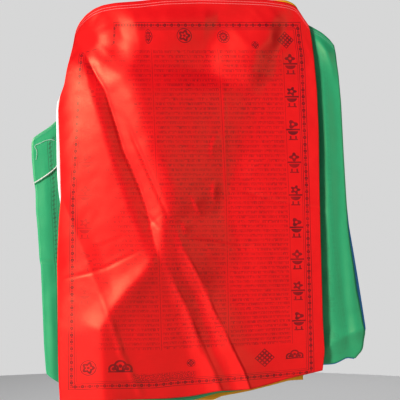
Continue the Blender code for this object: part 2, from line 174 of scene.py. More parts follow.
YELLOW_EDGES = {
    "top": (
        (-288, -112), (-274, -80), (-235, -52), (-150, -30), (27, -16), (150, -12), (205, -9),
        (256, -8), (275, -15), (286, -23), (300, -50), (312, -80),
    ),
    "right": ((312, -80), (318, -200), (322, -500), (316, -800), (306, -960), (305, -1033)),
    "bottom": (
        (-260, -1062), (-120, -1070), (0, -1088), (62, -1088), (86, -1077), (131, -1069),
        (165, -1062), (216, -1049), (268, -1035), (305, -1033),
    ),
    "left": ((-288, -112), (-290, -400), (-280, -800), (-260, -1062)),
}

# The whole bundle's one large pleat, level by level: its left foot, its crest, its right foot, and
# how far the crest comes forward. Its lines are eased over PLEAT_EASE each way. It is straight
# between a crest rounded by PLEAT_ROUND and feet eased over the share PLEAT_FOOT, and has its full
# height at PLEAT_REACH from a gathered corner. Each flag follows it by its own share.
PLEAT_COLUMNS = ("z", "left", "crest", "right", "height")
PLEAT = (
    (10, -262, -205, 75, 0), (-30, -270, -200, 75, 8), (-89, -290, -194, 75, 24),
    (-143, -302, -180, 32, 32), (-197, -318, -172, 34, 40), (-251, -328, -138, 195, 46),
    (-305, -336, -124, 188, 48), (-359, -342, -108, 162, 48), (-413, -346, -98, 135, 48),
    (-467, -350, -72, 105, 48), (-521, -352, -52, 96, 48), (-575, -352, -62, 90, 46),
    (-629, -352, -72, 108, 46), (-683, -352, -84, 130, 46), (-737, -352, -116, 120, 46),
    (-791, -353, -165, 75, 45), (-845, -354, -208, 60, 44), (-899, -355, -238, 50, 44),
    (-1000, -355, -236, 20, 43), (-1110, -355, -228, 10, 42),
)
PLEAT_EASE = 50 * MM
PLEAT_ROUND = 22 * MM
PLEAT_FOOT = 0.25
PLEAT_REACH = 150 * MM

# A fold is its kind and its sections, from the top down: a crease has a sharp crest and eased
# feet, by this power, and a swell is rounded all over. Left and right are the reaches to its feet
# on either side of its line, and height is how far it comes forward, or back where it is negative.
SECTION_COLUMNS = ("x", "z", "left", "right", "height")
CREASE_POWER = 1.5

# The whole bundle's right panel comes forward to its line, and the flags lie closer together at
# their right sides: from this x, over this width, they lose this share of their stand-off and lift.
RIGHT_PANEL = ("crease", (
    (480, -60, 180, 60, 0), (480, -150, 200, 60, 20), (482, -251, 260, 60, 30),
    (484, -359, 320, 60, 36), (486, -467, 375, 60, 38), (486, -600, 385, 60, 38),
    (488, -750, 340, 60, 32), (490, -900, 300, 60, 24), (490, -1060, 280, 60, 18),
))
CLOSER_FROM = 180 * MM
CLOSER_OVER = 150 * MM
CLOSER_BY = 0.72

RED_FOLDS = {
    "left_crown": ("swell", (
        (-292, -150, 20, 10, 0), (-281, -197, 70, 20, 4), (-273, -251, 80, 42, 6),
        (-254, -305, 95, 42, 8), (-235, -359, 115, 42, 9), (-221, -413, 125, 44, 9),
        (-205, -467, 140, 50, 9), (-186, -521, 150, 52, 9), (-170, -575, 160, 54, 8),
        (-140, -629, 170, 40, 4), (-130, -680, 150, 30, 0),
    )),
    "tuck": ("crease", (
        (-290, -140, 12, 10, 0), (-262, -197, 22, 40, -6), (-230, -251, 44, 60, -9),
        (-213, -305, 44, 66, -11), (-196, -359, 44, 70, -12), (-180, -413, 45, 70, -12),
        (-154, -467, 52, 60, -12), (-134, -521, 54, 55, -12), (-116, -575, 54, 45, -11),
        (-104, -629, 40, 34, -9), (-90, -690, 30, 24, -5), (-70, -740, 20, 15, 0),
    )),
    "lower_tuck": ("crease", (
        (-62, -725, 15, 20, 0), (-34, -791, 28, 40, 6), (-4, -845, 32, 45, 10),
        (13, -899, 34, 48, 12), (27, -953, 36, 50, 12), (61, -1007, 40, 48, 12),
        (77, -1048, 42, 45, 12), (100, -1105, 45, 45, 12),
    )),
    "second_tuck": ("crease", (
        (-40, -615, 12, 20, 0), (-18, -680, 25, 45, 6), (13, -737, 35, 60, 10),
        (46, -791, 38, 65, 13), (62, -845, 40, 70, 15), (95, -899, 45, 75, 16),
        (111, -953, 48, 75, 16), (143, -1007, 50, 78, 16), (159, -1048, 50, 80, 16),
        (178, -1110, 45, 80, 16),
    )),
    "lower_panel": ("crease", (
        (-85, -680, 12, 20, 0), (-116, -737, 30, 40, 4), (-165, -791, 50, 70, 6),
        (-208, -845, 55, 80, 7), (-238, -899, 60, 80, 7), (-236, -1000, 60, 90, 7),
        (-230, -1110, 60, 90, 7),
    )),
    "long_diagonal": ("crease", (
        (-350, -530, 12, 20, 0), (-318, -610, 45, 40, 4), (-275, -720, 60, 45, 6),
        (-240, -810, 50, 40, 5), (-222, -873, 30, 20, 0),
    )),
    "right_swag": ("swell", (
        (276, -50, 30, 12, 0), (245, -75, 70, 30, 8), (221, -95, 100, 42, 12),
        (175, -143, 120, 70, 17), (160, -197, 130, 75, 18), (150, -230, 120, 60, 9),
        (140, -260, 100, 60, 0),
    )),
    "top_roll": ("swell", (
        (-190, -78, 60, 40, 0), (-150, -68, 90, 40, 8), (-60, -60, 110, 38, 10),
        (40, -58, 90, 36, 9), (75, -60, 60, 36, 0),
    )),
}
# Creases, wrinkles, and a shallow rise and hollow by the left corner, which the plain solid hasn't
RED_CREASES = {
    "upper_valley": ("crease", (
        (-176, -320, 12, 8, 0), (-143, -400, 14, 8, -4), (-90, -520, 14, 8, -4),
        (-45, -624, 10, 8, 0),
    )),
    "diagonal_ridge": ("crease", (
        (-240, -810, 8, 8, 0), (-208, -885, 14, 9, 4), (-186, -960, 14, 9, 5),
        (-132, -1070, 14, 9, 4),
    )),
    "tuck_line": ("crease", (
        (-270, -180, 5, 5, 0), (-262, -197, 7, 7, -2), (-230, -251, 8, 8, -3),
        (-196, -359, 8, 8, -3), (-180, -413, 8, 8, -3), (-134, -521, 8, 8, -3),
        (-116, -575, 7, 7, -2), (-110, -620, 5, 5, 0),
    )),
    "lower_tuck_line": ("crease", (
        (-50, -755, 5, 5, 0), (-34, -791, 7, 7, 2), (13, -899, 7, 7, 3), (61, -1007, 7, 7, 3),
        (100, -1105, 7, 7, 3),
    )),
    "second_tuck_line": ("crease", (
        (-20, -670, 5, 5, 0), (13, -737, 7, 7, 2), (62, -845, 7, 7, 3), (143, -1007, 7, 7, 3),
        (178, -1110, 7, 7, 3),
    )),
    "left_pinch": ("crease", (
        (-350, -763, 6, 6, 0), (-271, -745, 7, 7, -3), (-222, -728, 7, 7, -3),
        (-167, -700, 6, 6, -2.5), (-125, -680, 5, 5, 0),
    )),
    "right_pinch": ("crease", (
        (96, -510, 6, 6, 0), (165, -530, 9, 9, -3), (235, -552, 9, 9, -3), (349, -570, 8, 8, -2),
    )),
    "lower_pinch": ("crease", (
        (-30, -652, 6, 6, 0), (50, -662, 9, 9, -3), (140, -676, 9, 9, -2.5), (250, -690, 8, 8, 0),
    )),
    "storage_crease": ("crease", (
        (88, -215, 6, 6, 0), (92, -270, 7, 7, 1.8), (97, -480, 7, 7, 1.8), (99, -580, 6, 6, 0),
    )),
    "cross_crease_a": ("crease", (
        (-150, -560, 6, 6, 0), (-105, -600, 8, 8, -2), (-60, -650, 6, 6, 0),
    )),
    "cross_crease_b": ("crease", (
        (-60, -570, 6, 6, 0), (-105, -610, 8, 8, -1.5), (-140, -660, 6, 6, 0),
    )),
    "wrinkle_a": ("crease", ((2, -530, 7, 30, 0), (14, -556, 9, 40, 4.5), (28, -592, 7, 30, 0))),
    "wrinkle_b": ("crease", ((68, -490, 7, 30, 0), (62, -522, 9, 40, 4.5), (67, -556, 7, 30, 0))),
    "wrinkle_c": ("crease", ((74, -368, 7, 30, 0), (60, -400, 9, 40, 4), (56, -436, 7, 30, 0))),
    "wrinkle_d": ("crease", (
        (-26, -600, 7, 24, 0), (-14, -620, 9, 30, 3.5), (-10, -645, 7, 24, 0),
    )),
    "grip_relief": ("swell", (
        (-250, -40, 40, 70, 0), (-258, -90, 40, 80, 7), (-250, -150, 40, 80, 8),
        (-232, -215, 40, 70, 3), (-220, -260, 40, 60, 0),
    )),
    "grip_hollow": ("swell", (
        (-175, -30, 60, 120, 0), (-182, -80, 70, 150, -7), (-180, -140, 75, 150, -9),
        (-165, -205, 70, 150, -5), (-150, -270, 60, 120, 0),
    )),
}
WHITE_FOLDS = {
    "side_swell": ("swell", (
        (-340, -300, 60, 60, 0), (-330, -600, 60, 70, 3), (-325, -1100, 60, 80, 3),
    )),
    "middle_swell": ("swell", (
        (-60, -300, 80, 90, 0), (20, -700, 90, 90, 4), (60, -1100, 90, 90, 4),
    )),
}
GREEN_LEFT_FOLDS = {
    "corner_swell": ("swell", (
        (-395, -390, 18, 22, 0), (-392, -560, 22, 26, 3), (-385, -760, 22, 28, 1),
    )),
    "lower_swell": ("swell", (
        (-378, -760, 18, 22, 0), (-372, -900, 20, 24, 4), (-368, -1060, 20, 24, 4),
    )),
    "middle_swell": ("swell", (
        (-120, -300, 90, 90, 0), (-90, -700, 90, 90, 3), (-60, -1110, 90, 90, 3),
    )),
}
GREEN_LEFT_CREASES = {
    "level_crease": ("crease", (
        (-418, -712, 4, 4, -1), (-395, -714, 6, 6, -2.5), (-370, -716, 6, 6, -2),
        (-340, -722, 5, 5, 0),
    )),
    "side_wrinkle": ("crease", (
        (-402, -430, 5, 5, 0), (-398, -520, 7, 7, -1), (-394, -600, 7, 7, -1),
        (-390, -680, 5, 5, 0),
    )),
}
GREEN_RIGHT_FOLDS = {
    "shoulder": ("crease", (
        (325, -84, 12, 18, 0), (338, -101, 26, 26, 7), (354, -126, 34, 34, 11),
        (370, -150, 34, 34, 10), (384, -190, 34, 26, 4), (390, -240, 30, 20, 0),
    )),
    "outer_swell": ("swell", (
        (352, -150, 20, 24, 0), (366, -330, 26, 34, 5), (378, -600, 28, 40, 6),
        (392, -900, 30, 40, 4), (398, -1000, 30, 40, 2),
    )),
    "edge_swell": ("swell", (
        (412, -480, 20, 24, 0), (424, -650, 24, 26, 4), (440, -820, 26, 28, 5),
        (452, -930, 26, 28, 3),
    )),
    "turned_corner": ("crease", (
        (478, -894, 55, 30, 9), (419, -915, 55, 34, 8), (367, -948, 45, 34, 4),
        (330, -975, 30, 30, 0),
    )),
}
BLUE_FOLDS = {
    "outer_swell": ("swell", (
        (360, -200, 40, 40, 0), (400, -600, 50, 45, 3), (420, -1000, 50, 45, 3),
    )),
}
YELLOW_FOLDS = {
    "left_hollow": ("swell", (
        (-262, -130, 20, 20, 0), (-215, -300, 60, 70, -12), (-190, -600, 80, 90, -18),
        (-170, -1100, 90, 100, -18),
    )),
    "left_pleat": ("crease", (
        (-245, -120, 15, 30, 0), (-150, -260, 45, 60, -8), (-60, -480, 50, 80, -14),
        (0, -760, 50, 90, -14), (40, -1110, 50, 90, -10),
    )),
    "right_hollow": ("swell", (
        (285, -110, 20, 20, 0), (240, -280, 60, 60, -12), (205, -600, 80, 80, -18),
        (190, -1100, 90, 80, -16),
    )),
    "right_pleat": ("crease", (
        (270, -105, 15, 15, 0), (175, -230, 60, 45, -7), (110, -420, 70, 50, -10),
        (90, -700, 60, 50, 0),
    )),
}

# Where the red flag's columns of faces follow its tucks: share of the way down, then the shares of
# the way across of the first tuck with the lower one, and of the second tuck. Then the columns in
# each of the three strips.
RED_RAILS = (
    (0.00, 0.087, 0.190), (0.06, 0.107, 0.235), (0.12, 0.144, 0.278), (0.18, 0.189, 0.300),
    (0.24, 0.225, 0.342), (0.30, 0.245, 0.357), (0.36, 0.267, 0.374), (0.42, 0.299, 0.402),
    (0.48, 0.331, 0.438), (0.54, 0.357, 0.457), (0.60, 0.376, 0.474), (0.66, 0.404, 0.504),
    (0.72, 0.447, 0.548), (0.78, 0.491, 0.580), (0.84, 0.516, 0.623), (0.92, 0.556, 0.664),
    (1.00, 0.608, 0.718),
)
RED_RAIL_COLUMNS = (56, 18, 118)

FLAGS = {
    flag.name: flag
    for flag in (
        Flag("red_flag", "flag_red", "red_cloth", 1.0, 0, 0, 6, 1.0, 80, **RED_EDGES,
             folds=RED_FOLDS | RED_CREASES, columns=RED_RAIL_COLUMNS, rows=235,
             rails=RED_RAILS),
        Flag("white_flag", "flag_white", "white_cloth", 0.6, 1, 7, 0, 0.55, 190, **WHITE_EDGES,
             folds=WHITE_FOLDS, columns=90, rows=130, rails=None),
        Flag("left_green_flag", "flag_green_left", "green_cloth", 0.8, 2, 17, 0, 0.5, 190,
             **GREEN_LEFT_EDGES, folds=GREEN_LEFT_FOLDS | GREEN_LEFT_CREASES, columns=120,
             rows=150, rails=None),
        Flag("right_green_flag", "flag_green_right", "green_cloth", 0.12, 3, 27, 0, 0.45, 110,
             **GREEN_RIGHT_EDGES, folds=GREEN_RIGHT_FOLDS, columns=120, rows=170, rails=None),
        Flag("blue_flag", "flag_blue", "blue_cloth", 0.4, 4, 35, 0, 0.4, 190, **BLUE_EDGES,
             folds=BLUE_FOLDS, columns=90, rows=130, rails=None),
        Flag("yellow_flag", "flag_yellow", "yellow_cloth", 0.6, 5, 43, 0, 0.3, 190, **YELLOW_EDGES,
             folds=YELLOW_FOLDS, columns=120, rows=170, rails=None),
    )
}

# The cloth's uneven waves: the shortest and longest and how many, then their height and the sway
# of their line as shares of their length, and how many lengths one sway takes
UNEVEN_LENGTHS = (0.035, 0.16, 14)
UNEVEN_HEIGHT = 0.0014
UNEVEN_SWAY = 0.35
UNEVEN_SWAY_LENGTH = 2.3

# The wrinkles that fan out from the gathered corners: how many waves go round each corner, where
# they start and over what width they rise, where they end and over what width they fade, the angle
# by which they turn over a distance, and their height
GRIP_WAVES = (11, 12)
GRIP_START = (22 * MM, 40 * MM)
GRIP_END = (190 * MM, 130 * MM)
GRIP_TURN = (5, 0.19)
GRIP_HEIGHT = 0.8 * MM

# The print's edges are softened over this width
EDGE_SOFT = 0.0007
# The print: its field between the bead borders, and where it lies on a flag's cut
FIELD = (0.626, 0.972)
FIELD_INSET = (0.052, 0.068)
# On the red flag, the field's top, its bottom as (x, z), and its left border, two dividers and
# right border at each z, in millimetres as for the edges
RED_FIELD_TOP = -76
RED_FIELD_BOTTOM = (
    (-319, -1053), (-235, -1050), (-97, -1048), (-27, -1040), (62, -1033), (146, -1025),
    (248, -1013), (328, -1002),
)
RED_FIELD_LINES = (
    (-76, -203, -108, 66, 290), (-128, -206, -106, 72, 296), (-152, -292, -104, 76, 300),
    (-197, -297, -102, 80, 303), (-548, -316, -88, 98, 316), (-967, -320, -76, 106, 327),
    (-1053, -320, -73, 107, 328),
)
# The text: the two rules between its columns, the columns, the rule right of them, its top and
# bottom, and the pitch of its rows
DIVIDERS = (0.2265, 0.397)
TEXT_COLUMNS = ((0.052, 0.222), (0.231, 0.392), (0.402, 0.570))
TEXT_RULE = 0.575
TEXT_TOP = 0.065
TEXT_BOTTOM = 0.878
TEXT_PITCH = 0.0127
# A row's head line and the strokes that hang from it: where they start and end as shares of the
# row, and how softly. Then painted light: the text is painted paler towards the left, where the key
# light's glare falls, and this is how much stronger it gets in a metre across, and from what.
TEXT_HEAD = (0.22, 0.38, 0.12)
TEXT_STROKES = (0.36, 0.78, 0.20)
# Painted glare: the text is paled towards the lit left side
TEXT_PAINTED_GLARE = (2.0, 0.45)
# The bead border: its pitch, the radius of a bead and of its hole, and then, each with its half
# width, the ties between beads, the rule on either side and the rule inside it
BEAD_PITCH = 0.0183
BEAD_RADIUS = 0.0044
BEAD_HOLE = 0.0010
BEAD_TIE = (0.0070, 0.0010)
BEAD_TIE_REACH = 0.0030
BEAD_RULE = (0.0075, 0.0007)
INNER_RULE = (0.0125, 0.0004)
# The lamps: their two columns, and the pitch, start and number of their rows. The left ones have
# this share of the ink.
SIDE_MOTIFS = (0.032, 0.594)
MOTIF_PITCH = 0.0883
MOTIF_START = 0.061
MOTIF_COUNT = 9
LEFT_LAMP_INK = 0.4
# Lamps are this many times as wide and as high as they are drawn
LAMP_SIZE = (1.5, 1.28)
# The print's other ornaments, each with its place across and down the field, a rosette's count of
# petals, and its size. The stippled strip is from and to, across and down.
ROSETTES = (
    (0.212, 0.030, 8, 0.020), (0.315, 0.028, 5, 0.020), (0.418, 0.031, 12, 0.017),
    (0.503, 0.053, 4, 0.010), (0.042, 0.922, 5, 0.021), (0.300, 0.918, 4, 0.011),
)
KNOTS = ((0.588, 0.040, 0.023), (0.496, 0.916, 0.028))
CLOUDS = ((0.122, 0.926, 0.0155), (0.580, 0.917, 0.0125))
STIPPLE = ((0.150, 0.310), (0.941, 0.965))

# The print on a flag's back has this share of its ink
BACK_INK = 0.45
# The heading's stitches: their pitch, the middle line of the two rows, how far each row lies from
# it, and half the width of a row
STITCH_PITCH = 0.0042
STITCH_ROWS = (0.0130, 0.0035)
STITCH_WIDTH = 0.0006

# The cloth's roughness, and the strength and warm tint of every finish's gloss
CLOTH_ROUGHNESS = 0.44
GLOSS = 0.8
GLOSS_TINT = (1.0, 0.6, 0.3, 1.0)

# The string's loose end, (x, y, z) in millimetres: out of the white flag's heading, down behind
# that flag, and out to the left over the green flag
STRING_ROUTE = (
    (-304.2, 3.3, -136), (-308.2, 3.4, -136.2), (-312, 4.6, -142), (-314, 6.2, -153),
    (-315, 8, -168), (-317, 9.8, -192), (-320, 11.6, -222), (-324, 12.6, -256), (-329, 12.3, -292),
    (-334, 12.7, -330), (-339, 14.5, -368), (-345, 17.2, -404), (-352, 18.6, -434),
    (-361, 18.9, -456), (-373, 18.8, -468), (-386, 17.8, -478), (-399, 17.2, -487),
    (-412, 17.6, -495), (-426, 18.6, -503),
)
# The string swells to a small knot by its tip: the swelling as a share of the radius, its distance
# from the tip and its half width. It thins to a share of its radius over the last stretch.
STRING_KNOT = (0.22, 0.046, 0.007)
STRING_THINNED = 0.45
STRING_THINNING = 0.012
# The frayed tip: how many fibres, how far inside the string they start, the shortest and longest,
# their radius at the start and the end, and how far they may turn aside and how far they sag for
# each length of a fibre
FRAY_COUNT = 7
FRAY_START = 0.003
FRAY_REACH = (0.003, 0.007)
FRAY_RADII = (0.00032, 0.00014)
FRAY_SPREAD = (1.0, 0.35, 1.0)
FRAY_SAG = (0.0, 0.0, -0.25)
# How far the loose thread lies clear of the left green flag, and its line on that flag, (x, z) as
# seen square on
THREAD_CLEAR = 0.4 * MM
THREAD_ROUTE = (
    (-416, -440), (-414, -430), (-413, -419), (-415, -411), (-419, -406), (-418, -400),
    (-411, -397), (-403, -394), (-394, -389), (-384, -386), (-374, -385), (-365, -387),
)

# The stage: the camera's sensor and lens in millimetres, the floor's radius, level and shade, the
# shade that the surroundings light with and the paler one that they show to the camera, and the
# view's exposure and gamma
SENSOR = 36.0
LENS = 100.0
FLOOR_RADIUS = 3.2
FLOOR_LEVEL = -1.5
FLOOR_SHADE = (0.82, 0.82, 0.82, 1.0)
SURROUNDINGS_LIGHT = (0.11, 0.11, 0.115, 1.0)
SURROUNDINGS_SHOWN = (0.78, 0.78, 0.78, 1.0)
VIEW_EXPOSURE = -0.10
VIEW_GAMMA = 0.82
# Name, place, what it looks at, width and watts
LIGHTS = (
    ("key_light", (-3.3, -2.3, 0.9), (0.0, 0.0, -0.5), 1.1, 250.0),
    ("fill_light", (2.6, -3.6, 0.1), (0.0, 0.0, -0.6), 1.2, 34.0),
    ("back_light", (1.2, 3.4, 1.4), (0.0, 0.0, -0.5), 2.4, 60.0),
)


def colour_setting(name, description, default):
    """A colour that a user can change."""
    return FloatVectorProperty(
        name=name, description=description, default=default, min=0.0, max=1.0, subtype="COLOR",
    )


class PRAYERFLAGS_PG_cloth(bpy.types.PropertyGroup):
    """Sizes and colours of the flags."""

    thickness: FloatProperty(
        name="Thickness", description="Thickness of one layer of the cloth", default=0.0006,
        min=0.0001, unit="LENGTH",
    )
    heading: FloatProperty(
        name="Heading", description="Thickness of the doubled heading", default=0.0014,
        min=0.0002, unit="LENGTH",
    )
    thread_pitch: FloatProperty(
        name="Thread pitch", description="Distance from one thread of the weave to the next",
        default=0.0009, min=0.0002, unit="LENGTH",
    )
    ink_strength: FloatProperty(
        name="Ink", description="How dark the print is on its own side", default=0.8, min=0.0,
        max=1.0, subtype="FACTOR",
    )
    red_cloth: colour_setting("Red", "Colour of the red flag", (0.80, 0.006, 0.016))
    white_cloth: colour_setting("White", "Colour of the white flag", (0.82, 0.82, 0.80))
    green_cloth: colour_setting("Green", "Colour of the green flags", (0.030, 0.40, 0.190))
    blue_cloth: colour_setting("Blue", "Colour of the blue flag", (0.015, 0.27, 0.62))
    yellow_cloth: colour_setting("Yellow", "Colour of the yellow flag", (0.80, 0.40, 0.02))
    ink: colour_setting("Ink colour", "Colour of the print", (0.030, 0.005, 0.020))


class PRAYERFLAGS_PG_string(bpy.types.PropertyGroup):
    """Sizes and colour of the string's loose end and of the loose thread."""

    diameter: FloatProperty(
        name="String", description="Diameter of the string", default=0.0036, min=0.001,
        unit="LENGTH",
    )
    lay: FloatProperty(
        name="Lay", description="Length in which the strands go once round", default=0.016,
        min=0.004, unit="LENGTH",
    )
    thread: FloatProperty(
        name="Thread", description="Diameter of the loose thread", default=0.0009, min=0.0003,
        unit="LENGTH",
    )
    colour: colour_setting("Cotton", "Colour of the string and the thread", (0.80, 0.78, 0.72))


def eased(share):
    """0 to 1 with a level start and end: 3 s^2 - 2 s^3."""
    share = np.clip(share, 0.0, 1.0)
    return share * share * (3.0 - 2.0 * share)


def along(points, shares, ease=EDGE_EASE):
    """Points at the given shares of the length of a line through the points, its corners eased by
    a moving average and its ends kept."""
    knots = np.array(points, float) * MM
    steps = np.linalg.norm(np.diff(knots, axis=0), axis=1)
    run = np.concatenate(([0.0], np.cumsum(steps)))
    at = np.linspace(0.0, run[-1], EDGE_STEPS)
    line = np.stack([np.interp(at, run, column) for column in knots.T], axis=-1)
    half = max(1, round(ease / (run[-1] / EDGE_STEPS)))
    weights = np.concatenate((np.arange(1, half + 2), np.arange(half, 0, -1))).astype(float)
    weights /= weights.sum()
    longer = np.pad(line, ((half, half), (0, 0)), mode="reflect", reflect_type="odd")
    smooth = [np.convolve(column, weights, "valid") for column in longer.T]
    return np.stack([np.interp(shares * run[-1], at, column) for column in smooth], axis=-1)


def freedom(x, z, reach):
    """0 where the flags are gathered and flat on each other, rising to 1 at the reach."""
    share = np.ones_like(x)
    for gather_x, gather_z in GATHER_POINTS:
        away = np.hypot(x - gather_x, z - gather_z) - GATHER_FLAT
        share = share * eased(away / (reach - GATHER_FLAT))
    return share


def fold_height(x, z, kind, sections):
    """Height of one fold: its sections' height on its line, falling to 0 at its left and right
    feet."""
    rows = [dict(zip(SECTION_COLUMNS, np.array(section) * MM)) for section in sections]
    nearest = np.full(x.shape, np.inf)
    height = np.zeros_like(x)
    for upper, lower in zip(rows, rows[1:]):
        run_x = lower["x"] - upper["x"]
        run_z = lower["z"] - upper["z"]
        from_x = x - upper["x"]
        from_z = z - upper["z"]
        down = np.clip((from_x * run_x + from_z * run_z) / (run_x**2 + run_z**2), 0.0, 1.0)
        away = np.hypot(from_x - down * run_x, from_z - down * run_z)
        blend = {name: upper[name] + down * (lower[name] - upper[name]) for name in SECTION_COLUMNS}
        on_right = run_x * from_z - run_z * from_x > 0.0
        reach = np.where(on_right, blend["right"], blend["left"])
        share = np.clip(1.0 - away / np.maximum(reach, MM), 0.0, 1.0)
        profile = share**CREASE_POWER if kind == "crease" else eased(share)
        height = np.where(away < nearest, blend["height"] * profile, height)
        nearest = np.minimum(nearest, away)
    return height


def unevenness(x, z, seed):
    """Small uneven waves of thin cloth: a sum of plane waves of many directions and lengths, each
    as high as its length allows."""
    draws = np.random.default_rng(seed)
    total = np.zeros_like(x)
    for length in np.geomspace(*UNEVEN_LENGTHS):
        turn = draws.uniform(0, np.pi)
        start = draws.uniform(0, 2 * np.pi)
        bend = draws.uniform(0, 2 * np.pi)
        across = x * np.cos(turn) + z * np.sin(turn)
        level = z * np.cos(turn) - x * np.sin(turn)
        swaying = level * 2 * np.pi / (length * UNEVEN_SWAY_LENGTH) + bend
        sway = UNEVEN_SWAY * length * np.sin(swaying)
        total += length * UNEVEN_HEIGHT * np.sin((across + sway) * 2 * np.pi / length + start)
    return total


def grip_wrinkles(x, z):
    """Wrinkles that fan out from the two gathered corners: waves by the angle about the corner,
    high a hand's breadth away and gone further off."""
    total = np.zeros_like(x)
    for (gather_x, gather_z), waves in zip(GATHER_POINTS, GRIP_WAVES):
        away = np.hypot(x - gather_x, z - gather_z)
        angle = np.arctan2(z - gather_z, x - gather_x)
        window = eased((away - GRIP_START[0]) / GRIP_START[1])
        window = window * eased((GRIP_END[0] - away) / GRIP_END[1])
        fan = 0.5 + 0.5 * np.sin(waves * angle + GRIP_TURN[0] * away / GRIP_TURN[1])
        total += GRIP_HEIGHT * window * fan**2
    return total


def pleat_height(x, z):
    """Height of the large pleat: its level's crest height, falling straight to 0 at both feet."""
    levels = along(PLEAT, np.linspace(0.0, 1.0, EDGE_STEPS), PLEAT_EASE)[::-1]
    rows = dict(zip(PLEAT_COLUMNS, levels.T))
    left, crest, right, height = (np.interp(z, rows["z"], rows[name]) for name in PLEAT_COLUMNS[1:])
    reach = np.where(x > crest, right - crest, crest - left)
    away = np.hypot(x - crest, PLEAT_ROUND) - PLEAT_ROUND
    share = np.clip(1.0 - away / reach, 0.0, 1.0)
    eased_foot = np.where(share < PLEAT_FOOT, share**2 / (2 * PLEAT_FOOT), share - PLEAT_FOOT / 2)
    return height * eased_foot / (1 - PLEAT_FOOT / 2)


def flag_depth(flag, x, z):
    """How far behind the red flag's plane a flag lies at each place."""
    forward = np.zeros_like(x)
    for kind, sections in flag.folds.values():
        forward += fold_height(x, z, kind, sections)
    forward += unevenness(x, z, flag.layer + 3)
    bundle = flag.follow * pleat_height(x, z) + fold_height(x, z, *RIGHT_PANEL)
    gathered = flag.layer * LAYER_PITCH - grip_wrinkles(x, z) - bundle * freedom(x, z, PLEAT_REACH)
    closer = 1.0 - CLOSER_BY * eased((x - CLOSER_FROM) / CLOSER_OVER)
    stand_off = flag.stand_off * MM * freedom(x, z, STAND_OFF_REACH)
    stand_off -= flag.lift * MM * freedom(x, z, flag.fold_reach * MM)
    return gathered + stand_off * closer - forward * freedom(x, z, flag.fold_reach * MM)


def as_hung(x, y, z):
    """Places as they hang, from places as seen square on: each moves along its line of sight."""
    growth = 1.0 + y / READ_FROM
    hung_x = READ_MIDDLE[0] + (x - READ_MIDDLE[0]) * growth
    hung_z = READ_MIDDLE[1] + (z - READ_MIDDLE[1]) * growth
    return np.stack((hung_x, y, hung_z), axis=-1)


def shares_down(flag):
    """Shares of the way down of a flag's rows: close together over the heading, then even."""
    height = abs(flag.left[-1][1] - flag.left[0][1]) * MM
    heading = np.linspace(0.0, HEADING_WIDTH / height, 6)
    step = (HEADING_WIDTH + HEADING_STEP) / height
    return np.concatenate((heading, np.linspace(step, 1.0, flag.rows)))


def shares_across(flag, down):
    """Shares of the way across of a flag's columns at each row: along its rails if it has them,
    and otherwise even."""
    if flag.rails is None:
        even = np.linspace(0.0, 1.0, flag.columns + 1)
        return np.broadcast_to(even, (len(down), len(even)))
    rails = np.array(flag.rails)
    marks = [np.zeros_like(down)]
    marks += [np.interp(down, rails[:, 0], rail) for rail in rails.T[1:]]
    marks += [np.ones_like(down)]
    strips = [marks[0][:, None]]
    for start, end, count in zip(marks, marks[1:], flag.columns):
        part = np.arange(1, count + 1) / count
        strips.append(start[:, None] + (end - start)[:, None] * part)
    return np.hstack(strips)


def red_field(x, z):
    """Places in the print's field on the red flag: across between its four upright lines, and down
    from its level top to its bottom line."""
    z_knots, *lines = np.array(RED_FIELD_LINES, float)[::-1].T * MM
    left, first, second, right = (np.interp(z, z_knots, line) for line in lines)
    marks = (0.0, *DIVIDERS, FIELD[0])
    across = np.zeros_like(x)
    strips = zip((left, first, second), (first, second, right), marks, marks[1:])
    for number, (start, end, low, high) in enumerate(strips):
        share = (x - start) / (end - start)
        if number > 0:
            share = np.maximum(share, 0.0)
        if number < 2:
            share = np.minimum(share, 1.0)
        across += share * (high - low)
    bottom_x, bottom_z = np.array(RED_FIELD_BOTTOM, float).T * MM
    top = RED_FIELD_TOP * MM
    drop = top - bottom_z[0]
    down = (top - z) / drop
    rise = (np.interp(x, bottom_x, bottom_z) - bottom_z[0]) / drop
    down = down + rise * np.clip(down, 0.0, 1.2) ** 5
    return np.stack((across, down * FIELD[1]), axis=-1)


def flag_surface(flag):
    """A flag's points, row by row, and its cloth and print places there: a patch blended from its
    four edges, then set at its depth."""
    down = shares_down(flag)
    across = shares_across(flag, down)
    down = np.broadcast_to(down[:, None], across.shape)
    u = across[..., None]
    v = down[..., None]
    top = along(flag.top, across)
    bottom = along(flag.bottom, across)
    left = along(flag.left, down)
    right = along(flag.right, down)
    ends = (flag.top[0], flag.top[-1], flag.bottom[0], flag.bottom[-1])
    corners = np.array(ends, float) * MM
    plane = (1 - v) * top + v * bottom + (1 - u) * left + u * right
    plane = plane - (1 - u) * (1 - v) * corners[0] - u * (1 - v) * corners[1]
    plane = plane - (1 - u) * v * corners[2] - u * v * corners[3]
    x = plane[..., 0]
    z = plane[..., 1]
    cloth = np.stack((across * CUT[0], down * CUT[1]), axis=-1)
    field = red_field(x, z) if flag.name == "red_flag" else cloth - FIELD_INSET
    return as_hung(x, flag_depth(flag, x, z), z), cloth, field


def grid_faces(rows, columns):
    """Four-cornered faces of a grid of points, facing forward."""
    index = np.arange(rows * columns).reshape(rows, columns)
    return np.stack(
        (index[:-1, :-1], index[1:, :-1], index[1:, 1:], index[:-1, 1:]), axis=-1
    ).reshape(-1, 4)


